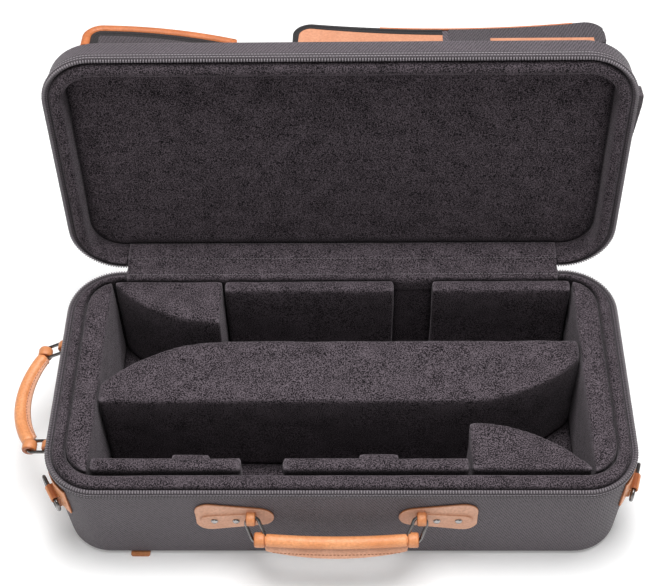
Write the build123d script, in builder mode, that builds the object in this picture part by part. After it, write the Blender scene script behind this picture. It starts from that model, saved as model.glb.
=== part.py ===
"""Double trumpet case: soft sided, closed by a zip, standing open with its lid upright.

Millimetres. The origin is the centre of the base's underside, X runs along the case to the
right, Y to the back and Z up. Pieces of the lid are drawn as if the lid were shut, on
lid_frame, which is that closed frame swung open about the hinge line.
"""

from build123d import *
from math import cos, pi, radians, sin, tan
import os

# Overall size of the case
case_length = 570.0
case_depth = 272.0
corner_radius = 52.0
parting_height = 129.0
lid_height = 35.0
parting_clearance = 0.3
wall_draft = 2.5
shell_wall = 4.0
base_edge_radius = 8.0
lid_edge_radius = 6.0

# Lid hinge: a fabric strip that bends about a line just outside the back wall
lid_open_angle = 95.0
hinge_behind = 1.9
hinge_below = 8.2

# Zip round the rim
tooth_height = 3.2
tooth_width = 3.4
tape_height = 9.0
tape_thickness = 1.0
zip_end_inset = 4.0
tail_width = 10.0
tail_length = 46.0

# Plush lining of both halves
side_padding = 17.0
front_padding = 21.5
back_padding = 9.5
well_corner = 34.0
roll_edge = 2.0
floor_lining = 5.0
lid_panel_thickness = 2.5
lid_panel_gap = 1.0

# Foam insert: the same shapes turned half round about the insert's centre
insert_shift = 1.0
insert_below_rim = 4.0
end_block_length = 25.0
insert_side_gap = 2.6
insert_clearance = 0.5
divider_half_depth = 38.0
divider_straight_x = 118.0
divider_end_depth = 22.0
wedge_x = 126.0
wedge_depth = 56.0
wedge_tip = 3.0
pad_thickness = 15.0
long_pad_ends = (-124.5, 55.5)
short_pad_start = 95.0
short_pad_gap = 1.5
rest_pad_drop = 17.0
rest_pad_thickness = 16.0
rest_pad_width = 39.0
rest_pad_centres = (-146.0, 37.5)

# Leather, wire and the loops that hold the wire
leather = 2.4
wire_radius = 1.7
tunnel_bore = 4.2
tunnel_wall = 1.8
tunnel_width = 5.0
tunnel_sink = 0.4
rivet_radius = 3.6
rivet_height = 1.6

# Front handle
front_handle_x = -4.0
front_handle_drop = 47.0
front_patch_inner = 60.0
front_patch_outer = 136.5
front_patch_height = 50.0
front_tunnel_reach = 82.0
front_tunnel_rise = 8.0
front_rivets = (97.0, 118.0)
front_droop = 55.0
front_link_reach = 22.0
front_link_skew = 8.0
front_grip_radius = 6.0
front_grip_bow = 3.0
front_flange_depth = 9.0

# Handle on the left end
side_handle_drop = 43.0
side_patch_lap = 2.0
side_patch_length = 40.0
side_patch_height = 36.0
side_tunnel_inset = 24.0
side_tunnel_rise = 8.0
side_rivet_inset = 10.0
side_droop = 18.0
side_link_reach = 22.0
side_link_skew = 4.0
side_grip_radius = 6.0
side_grip_bow = 18.0
side_flange_depth = 5.0
link_end_radius = 6.5
flange_thickness = 4.5

# Corner tabs with rings for a shoulder strap
left_tab_angle = 30.0
right_tab_angle = 17.0
tab_half_width = 21.0
tab_drop = 17.0
tab_height = 42.0
tab_loop_rise = 18.0
tab_loop_width = 18.0
ring_wire_radius = 1.9
ring_play = 0.6
ring_half_width = 19.0
ring_shift = 4.5

# Pockets on the outside of the lid
pocket_front_inset = 5.0
pocket_back_inset = 28.0
pocket_corner = 12.0
pocket_swell = 28.0
pocket_shoulder = 18.0
pocket_side = 10.0
pocket_lap = 6.0
pocket_cloth = 2.5
left_pocket_lap = 13.0
left_pocket_right_end = -97.0
left_pocket_middle = 22.5
left_pocket_thin = 4.5
right_pocket_left_end = -44.0
right_pocket_lap = 21.0
right_pocket_middle = 18.5
trim_thickness = 1.2
trim_band = 8.0
zip_band = 7.0
band_gap = 0.8
trim_lap = 30.0
panel_strip = 5.0
garage_x = 104.0

# Zip sliders and pulls
spine_width = 4.4
spine_height = 2.2
slider_width = 9.0
slider_length = 13.0
slider_height = 4.2
slider_play = 0.3
slider_edge = 1.0
ear_thickness = 1.2
ear_length = 4.4
pin_radius = 1.1
pin_lift = 2.2
barrel_wall = 0.9
pin_play = 0.15
pull_width = 5.6
pull_length = 24.0
pull_thickness = 1.8
slider_down_tail = 36.5
pocket_slider_y = 80.0

# Webbing keeper on the right side of the lid
keeper_length = 62.0
keeper_centre_y = -57.0
keeper_height = 16.0
keeper_rise = 10.0
keeper_stand_off = 7.0
keeper_nose = 9.0
keeper_edge = 1.2
webbing = 1.6

# Small leather tab under the front edge
edge_tab_inset = 29.0
edge_tab_width = 20.0
edge_tab_length = 21.5
edge_tab_front_inset = 1.5

# Hinge strips
hinge_strip_thickness = 1.4
hinge_strip_bend = 2.5
cover_lap = 22.0

# Shares of a patch's half height
patch_corner_share = 0.55
patch_nose_share = 0.66
patch_strap_share = 0.36
strap_drop = 3.0
strap_thickness = 2.0
link_play = 1.7
grip_end_gap = 9.0
grip_end_edge = 2.5
rivet_edge = 1.2

# Worked out from the sizes above
straight_x = case_length / 2 - corner_radius
straight_y = case_depth / 2 - corner_radius
zip_end_x = straight_x - zip_end_inset
base_rim = parting_height - parting_clearance - tooth_height
lid_rim = parting_height + parting_clearance + tooth_height
lid_top = parting_height + lid_height
floor_top = shell_wall + floor_lining
well_half_length = case_length / 2 - side_padding
well_front = front_padding - case_depth / 2
well_back = case_depth / 2 - back_padding
insert_centre_y = (well_front + well_back) / 2 + insert_shift
insert_half_length = well_half_length - end_block_length
insert_half_depth = (well_back - well_front) / 2 - insert_side_gap
insert_top = parting_height - insert_below_rim
rest_pad_top = insert_top - rest_pad_drop
short_pad_ends = (short_pad_start, insert_half_length - short_pad_gap)
front_handle_z = parting_height - front_handle_drop
side_handle_z = parting_height - side_handle_drop
side_patch_outer = straight_y + side_patch_lap
side_patch_inner = side_patch_outer - side_patch_length
side_tunnel_reach = side_patch_outer - side_tunnel_inset
side_rivets = (side_patch_outer - side_rivet_inset,)
tab_top = parting_height - tab_drop
tab_bottom = tab_top - tab_height
tab_loop_z = tab_bottom + tab_loop_rise
pocket_front = pocket_front_inset - case_depth / 2
pocket_back = case_depth / 2 - pocket_back_inset
left_pocket_ends = (-straight_x - left_pocket_lap, left_pocket_right_end)
right_pocket_ends = (right_pocket_left_end, straight_x + right_pocket_lap)
edge_tab_x = edge_tab_inset - straight_x
edge_tab_front = edge_tab_front_inset - case_depth / 2
edge_tab_back = edge_tab_front + edge_tab_length
hinge_y = case_depth / 2 + hinge_behind
hinge_z = parting_height - hinge_below
tunnel_radius = tunnel_bore + tunnel_wall
tunnel_stand_off = leather + tunnel_radius - tunnel_sink
ring_bore = ring_wire_radius + ring_play
ring_stand_off = leather + ring_bore + tunnel_wall - tunnel_sink
tab_angles = {-1: left_tab_angle, 1: right_tab_angle}

hinge_turn = Pos(0, hinge_y, hinge_z) * Rot(-lid_open_angle, 0, 0) * Pos(0, -hinge_y, -hinge_z)
lid_frame = Plane(hinge_turn)

pieces = {}


def keep(name, part):
    """Label a finished piece and put it on the list that is written at the end."""
    part.label = name
    pieces[name] = part
    return part


def in_lid(plane):
    """A plane drawn in the shut lid's coordinates, swung open with the lid."""
    return Plane(hinge_turn * plane.location)


def wall_inset(z):
    """How far the drafted wall of the base stands in from its rim at height z."""
    return (base_rim - z) * tan(radians(wall_draft))


def drafted_block(rim, outward, height, edge_radius):
    """The outer form of one half, grown outward by a distance: rim up, far edges rounded."""
    with BuildPart() as block:
        with BuildSketch(rim):
            RectangleRounded(
                case_length + 2 * outward, case_depth + 2 * outward, corner_radius + outward
            )
        extrude(amount=height + outward, taper=wall_draft)
        far_face = block.faces().sort_by(Axis(rim.origin, rim.z_dir))[-1]
        fillet(far_face.edges(), edge_radius + outward)
    return block.part


base_rim_plane = Plane((0, 0, base_rim), x_dir=(1, 0, 0), z_dir=(0, 0, -1))
lid_rim_plane = lid_frame.offset(lid_rim)


def base_block(outward=0.0):
    """The base's outer form, or a form that stands in or out from it."""
    return drafted_block(base_rim_plane, outward, base_rim, base_edge_radius)


def lid_block(outward=0.0):
    """The lid's outer form, or a form that stands in or out from it."""
    return drafted_block(lid_rim_plane, outward, lid_top - lid_rim, lid_edge_radius)


def well_outline(inward=0.0):
    """The rounded outline of the lined well, for use inside a sketch."""
    with Locations((0, (well_front + well_back) / 2)):
        RectangleRounded(
            2 * (well_half_length - inward),
            well_back - well_front - 2 * inward,
            well_corner - inward,
        )


def wall_plane(normal, along, offset, z):
    """A plane on the drafted outside of the base: x along the wall, y up, z outward."""
    half = (abs(normal[0]) * case_length + abs(normal[1]) * case_depth) / 2 - wall_inset(z)
    tilt = radians(wall_draft)
    outward = (normal[0] * cos(tilt), normal[1] * cos(tilt), -sin(tilt))
    origin = (normal[0] * half + along[0] * offset, normal[1] * half + along[1] * offset, z)
    return Plane(origin, x_dir=along, z_dir=outward)


def at(plane, x, y, z):
    """The same plane moved to a point given in its own coordinates."""
    return Plane(plane.from_local_coords((x, y, z)), x_dir=plane.x_dir, z_dir=plane.z_dir)


def rim_ring(plane, height, inset, width):
    """A band of even width that follows the rim, set in from the shell's outside."""
    with BuildPart() as ring:
        with BuildSketch(plane):
            RectangleRounded(
                case_length - 2 * inset, case_depth - 2 * inset, corner_radius - inset
            )
            RectangleRounded(
                case_length - 2 * (inset + width),
                case_depth - 2 * (inset + width),
                corner_radius - inset - width,
                mode=Mode.SUBTRACT,
            )
        extrude(amount=height)
    return ring.part


def hinge_gap(frame, bottom, top, half_width):
    """The stretch of the back where the hinge strips pass, as a solid to take away."""
    with BuildPart() as gap:
        with BuildSketch(frame.offset(bottom)):
            with Locations((0, case_depth / 2)):
                Rectangle(2 * half_width, 2 * corner_radius)
        extrude(amount=top - bottom)
    return gap.part


# Shells: moulded foam sheet covered in woven nylon
with BuildPart() as base_shell:
    add(base_block())
    add(base_block(-shell_wall), mode=Mode.SUBTRACT)
keep("base_shell", base_shell.part)

with BuildPart() as lid_shell:
    add(lid_block())
    add(lid_block(-shell_wall), mode=Mode.SUBTRACT)
keep("lid_shell", lid_shell.part)


# Wall linings: plush over foam, with a rolled rim that stands up beside the zip
def wall_lining(shell_room, rim_plane, frame, notch):
    """The foam between the shell and the well, with its rolled edge above the rim."""
    with BuildPart() as lining:
        add(shell_room)
        with BuildSketch(rim_plane):
            RectangleRounded(
                case_length - 2 * shell_wall, case_depth - 2 * shell_wall, corner_radius - shell_wall
            )
        extrude(amount=-tooth_height)
        rim_face = lining.faces().sort_by(Axis(rim_plane.origin, rim_plane.z_dir))[0]
        fillet(rim_face.edges(), roll_edge)
        with BuildSketch(frame):
            well_outline()
        extrude(amount=2 * lid_top, mode=Mode.SUBTRACT)
        add(notch, mode=Mode.SUBTRACT)
    return lining.part


base_notch = hinge_gap(Plane.XY, hinge_z - roll_edge, lid_top, zip_end_x)
lid_notch = hinge_gap(lid_frame, hinge_z, lid_rim + roll_edge, zip_end_x)
keep("base_wall_lining", wall_lining(base_block(-shell_wall), base_rim_plane, Plane.XY, base_notch))
keep("lid_wall_lining", wall_lining(lid_block(-shell_wall), lid_rim_plane, lid_frame, lid_notch))

with BuildPart() as base_floor_lining:
    with BuildSketch(Plane.XY.offset(shell_wall)):
        well_outline(insert_clearance)
    extrude(amount=floor_lining)
    add(base_block(-shell_wall), mode=Mode.INTERSECT)
keep("base_floor_lining", base_floor_lining.part)

with BuildPart() as lid_panel:
    with BuildSketch(lid_frame.offset(lid_top - shell_wall - lid_panel_gap)):
        well_outline(insert_clearance)
    extrude(amount=-lid_panel_thickness)
    add(lid_block(-shell_wall), mode=Mode.INTERSECT)
keep("lid_panel", lid_panel.part)


# Foam insert: end blocks, divider, bell wedges and side pads
insert_room = base_block(-shell_wall - insert_clearance)


def insert_block(outline, top=insert_top):
    """A foam block that stands on the floor lining, with its outline drawn in plan."""
    with BuildPart() as block:
        with BuildSketch(Plane.XY.offset(floor_top)):
            add(outline)
        extrude(amount=top - floor_top)
        upper = block.faces().sort_by(Axis.Z)[-1]
        fillet(upper.edges(), insert_clearance)
        add(insert_room, mode=Mode.INTERSECT)
    return block.part


def turned(outline):
    """The same outline turned half round about the insert's centre."""
    return Pos(0, 2 * insert_centre_y) * outline.rotate(Axis.Z, 180)


with BuildSketch() as end_outline:
    well_outline(insert_clearance)
    with Locations((case_length / 2 - insert_half_length, 0)):
        Rectangle(case_length, case_depth, mode=Mode.SUBTRACT)
keep("end_block_left", insert_block(end_outline.sketch))
keep("end_block_right", insert_block(mirror(end_outline.sketch, Plane.YZ)))

divider_end = insert_half_length - insert_clearance
divider_back = insert_centre_y + divider_half_depth
divider_front = insert_centre_y - divider_half_depth
with BuildSketch() as divider_outline:
    with BuildLine():
        back_straight = Line((divider_end, divider_back), (-divider_straight_x, divider_back))
        back_curve = TangentArc(
            (-divider_straight_x, divider_back),
            (-divider_end, divider_front + divider_end_depth),
            tangent=(-1, 0),
        )
        left_end = Line(back_curve @ 1, (-divider_end, divider_front))
        front_straight = Line(left_end @ 1, (divider_straight_x, divider_front))
        front_curve = TangentArc(
            (divider_straight_x, divider_front),
            (divider_end, divider_back - divider_end_depth),
            tangent=(1, 0),
        )
        right_end = Line(front_curve @ 1, back_straight @ 0)
    make_face()
keep("divider", insert_block(divider_outline.sketch))

insert_back = insert_centre_y + insert_half_depth
with BuildSketch() as wedge_outline:
    with BuildLine():
        wedge_end = Line((-wedge_x, insert_back - wedge_depth), (-wedge_x, insert_back))
        wedge_back = Line(wedge_end @ 1, (-divider_end, insert_back))
        wedge_point = Line(wedge_back @ 1, (-divider_end, insert_back - wedge_tip))
        wedge_curve = TangentArc(wedge_end @ 0, wedge_point @ 1, tangent=(-1, 0))
    make_face()
keep("bell_wedge_back", insert_block(wedge_outline.sketch))
keep("bell_wedge_front", insert_block(turned(wedge_outline.sketch)))


def side_pad(ends):
    """A flat pad against the back of the well, between two places along it."""
    with BuildSketch() as pad:
        with Locations((sum(ends) / 2, insert_back - pad_thickness / 2)):
            Rectangle(ends[1] - ends[0], pad_thickness)
    return pad.sketch


keep("pad_back_middle", insert_block(side_pad(long_pad_ends)))
keep("pad_back_right", insert_block(side_pad(short_pad_ends)))
keep("pad_front_middle", insert_block(turned(side_pad(long_pad_ends))))
keep("pad_front_left", insert_block(turned(side_pad(short_pad_ends))))

front_pad_face = insert_centre_y - insert_half_depth + pad_thickness
for name, centre in zip(("rest_pad_left", "rest_pad_middle"), rest_pad_centres):
    with BuildSketch() as rest_outline:
        with Locations((centre, front_pad_face + rest_pad_thickness / 2)):
            Rectangle(rest_pad_width, rest_pad_thickness)
    keep(name, insert_block(rest_outline.sketch, rest_pad_top))


# Zip chains: a row of teeth on each rim, with its tape sewn down the outside
def band_window(frame, bottom, top):
    """Everything between two heights, to cut a band out of a conforming skin."""
    with BuildPart() as window:
        with BuildSketch(frame.offset(bottom)):
            Rectangle(2 * case_length, 2 * case_length)
        extrude(amount=top - bottom)
    return window.part


def zip_run(plane, length, width, thickness):
    """A straight length of shut zip on a flat face: its tape, and the teeth as one spine."""
    with BuildPart() as run:
        with BuildSketch(plane):
            Rectangle(width, length)
        extrude(amount=thickness)
        with BuildSketch(plane.offset(thickness)):
            Rectangle(spine_width, length)
        extrude(amount=spine_height)
    return run.part


def tail_plane(side, z):
    """A plane on the back wall where one end of the zip runs down below the hinge."""
    return wall_plane((0, 1), (-1, 0), -side * (zip_end_x + tail_width / 2), z)


tail_top = base_rim - tape_height
base_slider_z = tail_top - slider_down_tail
with BuildPart() as base_zip_chain:
    add(base_block(tape_thickness))
    add(base_block(), mode=Mode.SUBTRACT)
    add(band_window(Plane.XY, base_rim - tape_height, base_rim), mode=Mode.INTERSECT)
    add(rim_ring(Plane.XY.offset(base_rim), tooth_height, -tape_thickness, tooth_width))
    add(hinge_gap(Plane.XY, 0, lid_top, zip_end_x), mode=Mode.SUBTRACT)
    for side in (-1, 1):
        tail = tail_plane(side, tail_top - tail_length / 2)
        add(zip_run(tail, tail_length, tail_width, tape_thickness))
keep("base_zip_chain", base_zip_chain.part)

with BuildPart() as lid_zip_chain:
    add(lid_block(tape_thickness))
    add(lid_block(), mode=Mode.SUBTRACT)
    add(band_window(lid_frame, lid_rim, lid_rim + tape_height), mode=Mode.INTERSECT)
    add(rim_ring(lid_frame.offset(lid_rim), -tooth_height, -tape_thickness, tooth_width))
    add(hinge_gap(lid_frame, 0, lid_top, zip_end_x), mode=Mode.SUBTRACT)
keep("lid_zip_chain", lid_zip_chain.part)


# Hinge strips: plush inside and nylon outside, sewn to both halves
def lid_point(inward, height):
    """A place in the lid's back, from its outer back edge and up from the parting plane."""
    shut = Pos(0, case_depth / 2 - inward, parting_height + height)
    swung = (hinge_turn * shut).position
    return (swung.Y, swung.Z)


def hinge_strip(points, bend, thickness, half_width):
    """A strip of cloth of even thickness along the back, bent through the given points."""
    with BuildPart() as strip:
        with BuildSketch(Plane.YZ):
            with BuildLine():
                run = FilletPolyline(*points, radius=bend)
            trace(run, thickness)
        extrude(amount=half_width, both=True)
    return strip.part


lining_level = parting_height + hinge_strip_thickness / 2
lining_inside = case_depth / 2 - well_back + hinge_strip_thickness / 2 + parting_clearance
keep(
    "hinge_lining",
    hinge_strip(
        [
            (well_back + hinge_strip_thickness, hinge_z),
            (well_back + hinge_strip_thickness, lining_level),
            (hinge_y, lining_level),
            lid_point(lining_inside, 0),
            lid_point(lining_inside, lid_height - shell_wall - lid_panel_thickness - 2 * lid_panel_gap),
        ],
        hinge_strip_bend,
        hinge_strip_thickness,
        zip_end_x - parting_clearance,
    ),
)

cover_out = case_depth / 2 + hinge_strip_thickness / 2 + parting_clearance
keep(
    "hinge_cover",
    hinge_strip(
        [
            (cover_out, hinge_z - cover_lap),
            (cover_out, hinge_z - hinge_below / 2),
            lid_point(-hinge_strip_thickness, tooth_height),
            lid_point(-hinge_strip_thickness / 2 - parting_clearance, cover_lap),
        ],
        hinge_strip_bend,
        hinge_strip_thickness,
        zip_end_x - parting_clearance,
    ),
)


# Leather patches with a strap that folds round a link
front_wall = wall_plane((0, -1), (1, 0), front_handle_x, front_handle_z)
left_wall = wall_plane((-1, 0), (0, -1), 0.0, side_handle_z)


def tunnel(plane, width, bore):
    """A leather tube round a link's end: its axis is the plane's x direction."""
    across = Plane(plane.origin, x_dir=plane.y_dir, z_dir=plane.x_dir)
    with BuildPart() as tube:
        with BuildSketch(across):
            Circle(bore + tunnel_wall)
        extrude(amount=width / 2, both=True)
    return tube.part


def tunnel_bore_at(plane, width, bore):
    """The hole through such a tube, a little longer than the tube at both ends."""
    across = Plane(plane.origin, x_dir=plane.y_dir, z_dir=plane.x_dir)
    with BuildPart() as hole:
        with BuildSketch(across):
            Circle(bore)
        extrude(amount=width, both=True)
    return hole.part


def handle_patch(wall, side, inner, outer, height, reach, rise, strap_from):
    """A teardrop patch on the wall, its strap and the tunnel that the strap folds into."""
    big = height / 2
    corner = big * patch_corner_share
    small = big * patch_nose_share
    strap_half = big * patch_strap_share
    spot = at(wall, side * reach, rise, tunnel_stand_off)
    with BuildPart() as patch:
        with BuildSketch(wall):
            with Locations(
                (side * (outer - corner), big - corner), (side * (outer - corner), corner - big)
            ):
                Circle(corner)
            with Locations((side * (inner + small), 0)):
                Circle(small)
            make_hull()
        extrude(amount=leather)
        with BuildSketch(wall.offset(leather)):
            with Locations((side * (strap_from + strap_half / 2), -strap_drop)):
                Circle(strap_half)
            with Locations((side * reach, rise - strap_drop)):
                Circle(strap_half * patch_corner_share)
            make_hull()
        extrude(amount=strap_thickness)
        add(tunnel(spot, tunnel_width, tunnel_bore))
        add(tunnel_bore_at(spot, tunnel_width, tunnel_bore), mode=Mode.SUBTRACT)
    return patch.part


def rivets(wall, places):
    """Domed rivet heads on the straps of both patches of a handle."""
    with BuildPart() as heads:
        with BuildSketch(wall.offset(leather + strap_thickness)):
            with Locations(*[(side * place, -strap_drop) for side in (-1, 1) for place in places]):
                Circle(rivet_radius)
        extrude(amount=rivet_height)
        domes = heads.faces().group_by(Axis(wall.origin, wall.z_dir))[-1]
        chamfer(domes.edges(), rivet_edge)
    return heads.part


def droop_plane(wall, rise, droop):
    """The plane that a handle lies in: x along the wall, y outward and down."""
    hinge_point = wall.from_local_coords((0, rise, tunnel_stand_off))
    level = Vector(wall.z_dir.X, wall.z_dir.Y, 0).normalized()
    fall = level * cos(radians(droop)) - Vector(0, 0, 1) * sin(radians(droop))
    return Plane(hinge_point, x_dir=wall.x_dir, z_dir=wall.x_dir.cross(fall))


def link(plane, side, near, far, reach):
    """An oval wire link from the patch's tunnel to the tunnel at the handle's end."""
    start = plane.from_local_coords((side * near, 0, 0))
    finish = plane.from_local_coords((side * far, reach, 0))
    lengthwise = (finish - start).normalized()
    span = (finish - start).length - 2 * (link_end_radius - link_play)
    frame = Plane(
        start + lengthwise * (link_end_radius - link_play), x_dir=lengthwise, z_dir=plane.z_dir
    )
    r = link_end_radius
    with BuildPart() as ring:
        with BuildLine(frame) as path:
            Line((0, r), (span, r))
            ThreePointArc((span, r), (span + r, 0), (span, -r))
            Line((span, -r), (0, -r))
            ThreePointArc((0, -r), (-r, 0), (0, r))
        with BuildSketch(Plane(path.line @ 0, z_dir=path.line % 0)):
            Circle(wire_radius)
        sweep(path=path.line)
    return ring.part


def grip(plane, half_length, reach, bow, radius, flange):
    """A rolled leather grip, bowed outward, with the sewn flange on one side of the roll."""
    depth = flange + (radius if flange > 0 else -radius)
    sewn_half = half_length - radius
    with BuildPart() as body:
        with BuildLine(plane) as path:
            ThreePointArc((-half_length, reach), (0, reach + bow), (half_length, reach))
        with BuildSketch(Plane(path.line @ 0, z_dir=path.line % 0)):
            Circle(radius)
        sweep(path=path.line)
        chamfer(body.edges().filter_by(GeomType.CIRCLE), grip_end_edge)
        with BuildSketch(plane):
            with BuildLine():
                middle = ThreePointArc((-sewn_half, reach), (0, reach + bow), (sewn_half, reach))
                edge = ThreePointArc(
                    (-sewn_half, reach + depth), (0, reach + bow + depth), (sewn_half, reach + depth)
                )
                Line(middle @ 0, edge @ 0)
                Line(middle @ 1, edge @ 1)
            make_face()
        extrude(amount=flange_thickness / 2, both=True)
    return body.part


def grip_loops(plane, roll, half_length, far, reach):
    """The two loops at the handle's ends, each with a tongue that meets the roll."""
    with BuildPart() as loops:
        for side in (-1, 1):
            spot = at(plane, side * far, reach, 0)
            add(tunnel(spot, tunnel_width, tunnel_bore))
            with BuildSketch(plane):
                with Locations(
                    (side * (far + half_length) / 2, reach + tunnel_bore + tunnel_wall / 2)
                ):
                    Rectangle(far - half_length, tunnel_wall)
            extrude(amount=tunnel_bore, both=True)
            add(tunnel_bore_at(spot, tunnel_width, tunnel_bore), mode=Mode.SUBTRACT)
        add(roll, mode=Mode.SUBTRACT)
    return loops.part


front_plane = droop_plane(front_wall, front_tunnel_rise, front_droop)
side_plane = droop_plane(left_wall, side_tunnel_rise, side_droop)
front_link_far = front_tunnel_reach - front_link_skew
side_link_far = side_tunnel_reach - side_link_skew

for name, side in (("left", -1), ("right", 1)):
    keep(
        f"front_patch_{name}",
        handle_patch(
            front_wall, side, front_patch_inner, front_patch_outer, front_patch_height,
            front_tunnel_reach, front_tunnel_rise, front_rivets[-1],
        ),
    )
    keep(
        f"front_link_{name}",
        link(front_plane, side, front_tunnel_reach, front_link_far, front_link_reach),
    )
for name, side in (("back", -1), ("front", 1)):
    keep(
        f"side_patch_{name}",
        handle_patch(
            left_wall, side, side_patch_inner, side_patch_outer, side_patch_height,
            side_tunnel_reach, side_tunnel_rise, side_rivets[-1],
        ),
    )
    keep(
        f"side_link_{name}",
        link(side_plane, side, side_tunnel_reach, side_link_far, side_link_reach),
    )
keep("front_rivets", rivets(front_wall, front_rivets))
keep("side_rivets", rivets(left_wall, side_rivets))

front_grip_half = front_link_far - grip_end_gap
side_grip_half = side_link_far - grip_end_gap
front_grip = keep(
    "front_grip",
    grip(
        front_plane, front_grip_half, front_link_reach, front_grip_bow, front_grip_radius,
        front_flange_depth,
    ),
)
side_grip = keep(
    "side_grip",
    grip(
        side_plane, side_grip_half, side_link_reach, side_grip_bow, side_grip_radius,
        -side_flange_depth,
    ),
)
keep(
    "front_grip_loops",
    grip_loops(front_plane, front_grip, front_grip_half, front_link_far, front_link_reach),
)
keep(
    "side_grip_loops",
    grip_loops(side_plane, side_grip, side_grip_half, side_link_far, side_link_reach),
)


# Corner tabs: leather round each front corner, with a loop that carries a ring
def corner_direction(side, degrees):
    """A level unit direction out of a front corner, turned forward from the end wall."""
    return Vector(side * cos(radians(degrees)), -sin(radians(degrees)), 0)


def corner_plane(side, stand_off, z):
    """A plane facing out of the tab's middle: x level along the corner, y up."""
    centre = Vector(side * (case_length / 2 - corner_radius), corner_radius - case_depth / 2, z)
    outward = corner_direction(side, tab_angles[side])
    reach = corner_radius - wall_inset(z) + stand_off
    return Plane(centre + outward * reach, x_dir=Vector(0, 0, 1).cross(outward), z_dir=outward)


def corner_tab(side):
    """The leather patch, cut out of a skin that follows the corner, and its loop."""
    centre = Vector(side * (case_length / 2 - corner_radius), corner_radius - case_depth / 2)
    half_turn = tab_half_width / corner_radius * 180 / pi
    turns = (tab_angles[side] - half_turn, tab_angles[side] + half_turn)
    spot = corner_plane(side, ring_stand_off, tab_loop_z)
    back_face = corner_plane(side, 0, (tab_loop_z + tab_bottom) / 2)
    with BuildPart() as tab:
        add(base_block(leather))
        with BuildSketch(Plane.XY.offset(tab_bottom)):
            with BuildLine():
                Polyline(
                    centre,
                    *[centre + corner_direction(side, turn) * 2 * corner_radius for turn in turns],
                    close=True,
                )
            make_face()
        extrude(amount=tab_top - tab_bottom, mode=Mode.INTERSECT)
        with BuildSketch(back_face):
            Rectangle(tab_loop_width, tab_loop_z - tab_bottom - 2 * leather)
        extrude(amount=leather + strap_thickness)
        add(tunnel(spot, tab_loop_width, ring_bore))
        add(base_block(), mode=Mode.SUBTRACT)
        add(tunnel_bore_at(spot, tab_loop_width, ring_bore), mode=Mode.SUBTRACT)
    return tab.part


def strap_ring(side):
    """A D shaped wire ring that hangs from the corner tab's loop, slid to the back in it."""
    plane = at(corner_plane(side, ring_stand_off, tab_loop_z), side * ring_shift, 0, 0)
    half = ring_half_width
    bend = ring_wire_radius + ring_bore
    with BuildPart() as ring:
        with BuildLine(plane) as path:
            bar = Line((bend - half, 0), (half - bend, 0))
            RadiusArc((half - bend, 0), (half, -bend), bend)
            RadiusArc((half, -bend), (0, -bend - half), half)
            RadiusArc((0, -bend - half), (-half, -bend), half)
            RadiusArc((-half, -bend), (bend - half, 0), bend)
        with BuildSketch(Plane(bar @ 0, z_dir=bar % 0)):
            Circle(ring_wire_radius)
        sweep(path=path.line)
    return ring.part


for name, side in (("left", -1), ("right", 1)):
    keep(f"corner_tab_{name}", corner_tab(side))
    keep(f"corner_ring_{name}", strap_ring(side))


# Pockets on the outside of the lid, which bulge where their gussets hold them open
def pocket_profile(ends, middle, far_height, lap):
    """The pocket seen from its zip side: a shoulder at each end and a curved crown."""
    near_height = pocket_swell
    left, right = ends
    far_share = far_height / near_height
    far_shoulder = right - pocket_shoulder * far_share
    with BuildSketch() as profile:
        with BuildLine():
            near_side = Line((left, -lap), (left, pocket_side))
            TangentArc(near_side @ 1, (left + pocket_shoulder, near_height), tangent=(0, 1))
            ThreePointArc(
                (left + pocket_shoulder, near_height),
                ((left + right) / 2, middle),
                (far_shoulder, far_height),
            )
            far_side = Line((right, -lap), (right, pocket_side * far_share))
            TangentArc(far_side @ 1, (far_shoulder, far_height), tangent=(0, 1))
            Line(near_side @ 0, far_side @ 0)
        make_face()
    return profile.sketch


pocket_front_face = Plane((0, pocket_front, lid_top), x_dir=(1, 0, 0), z_dir=(0, -1, 0))
pocket_face = in_lid(pocket_front_face)
lid_form = lid_block()


def pocket_form(ends, profile, inward):
    """A block with the pocket's plan outline and its profile, both set in by a distance."""
    with BuildPart() as form:
        with BuildSketch(lid_frame.offset(lid_top - pocket_lap)) as plan:
            with Locations((sum(ends) / 2, (pocket_front + pocket_back) / 2)):
                Rectangle(
                    ends[1] - ends[0] - 2 * inward, pocket_back - pocket_front - 2 * inward
                )
            fillet(plan.vertices().group_by(Axis.Y)[-1], pocket_corner - inward)
        extrude(amount=pocket_lap + pocket_swell)
        with BuildSketch(pocket_face):
            add(profile)
        extrude(amount=pocket_front - pocket_back, mode=Mode.INTERSECT)
    return form.part


def offset_down(part, distance):
    """The same solid moved towards the lid by a distance."""
    return Pos(*(lid_frame.z_dir * -distance)) * part


def pocket_pouch(ends, profile):
    """The sewn pouch, hollow and open on the side that is laid over the lid's edge."""
    with BuildPart() as pouch:
        add(pocket_form(ends, profile, 0))
        hollow = pocket_form(ends, profile, pocket_cloth)
        add(offset_down(hollow, pocket_cloth), mode=Mode.SUBTRACT)
        add(lid_form, mode=Mode.SUBTRACT)
    return pouch.part


def face_band(outline, inset, depth, ends):
    """A strip on the pocket's zip side that follows its edge, between two places along it."""
    outer = offset(outline, -inset, mode=Mode.PRIVATE) if inset else outline
    with BuildPart() as band:
        with BuildSketch(pocket_face):
            add(outer)
            if depth:
                add(offset(outer, -depth, mode=Mode.PRIVATE), mode=Mode.SUBTRACT)
            with Locations((sum(ends) / 2, 0)):
                Rectangle(ends[1] - ends[0], 2 * pocket_swell, mode=Mode.INTERSECT)
        extrude(amount=trim_thickness)
        add(lid_form, mode=Mode.SUBTRACT)
    return band.part


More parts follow.
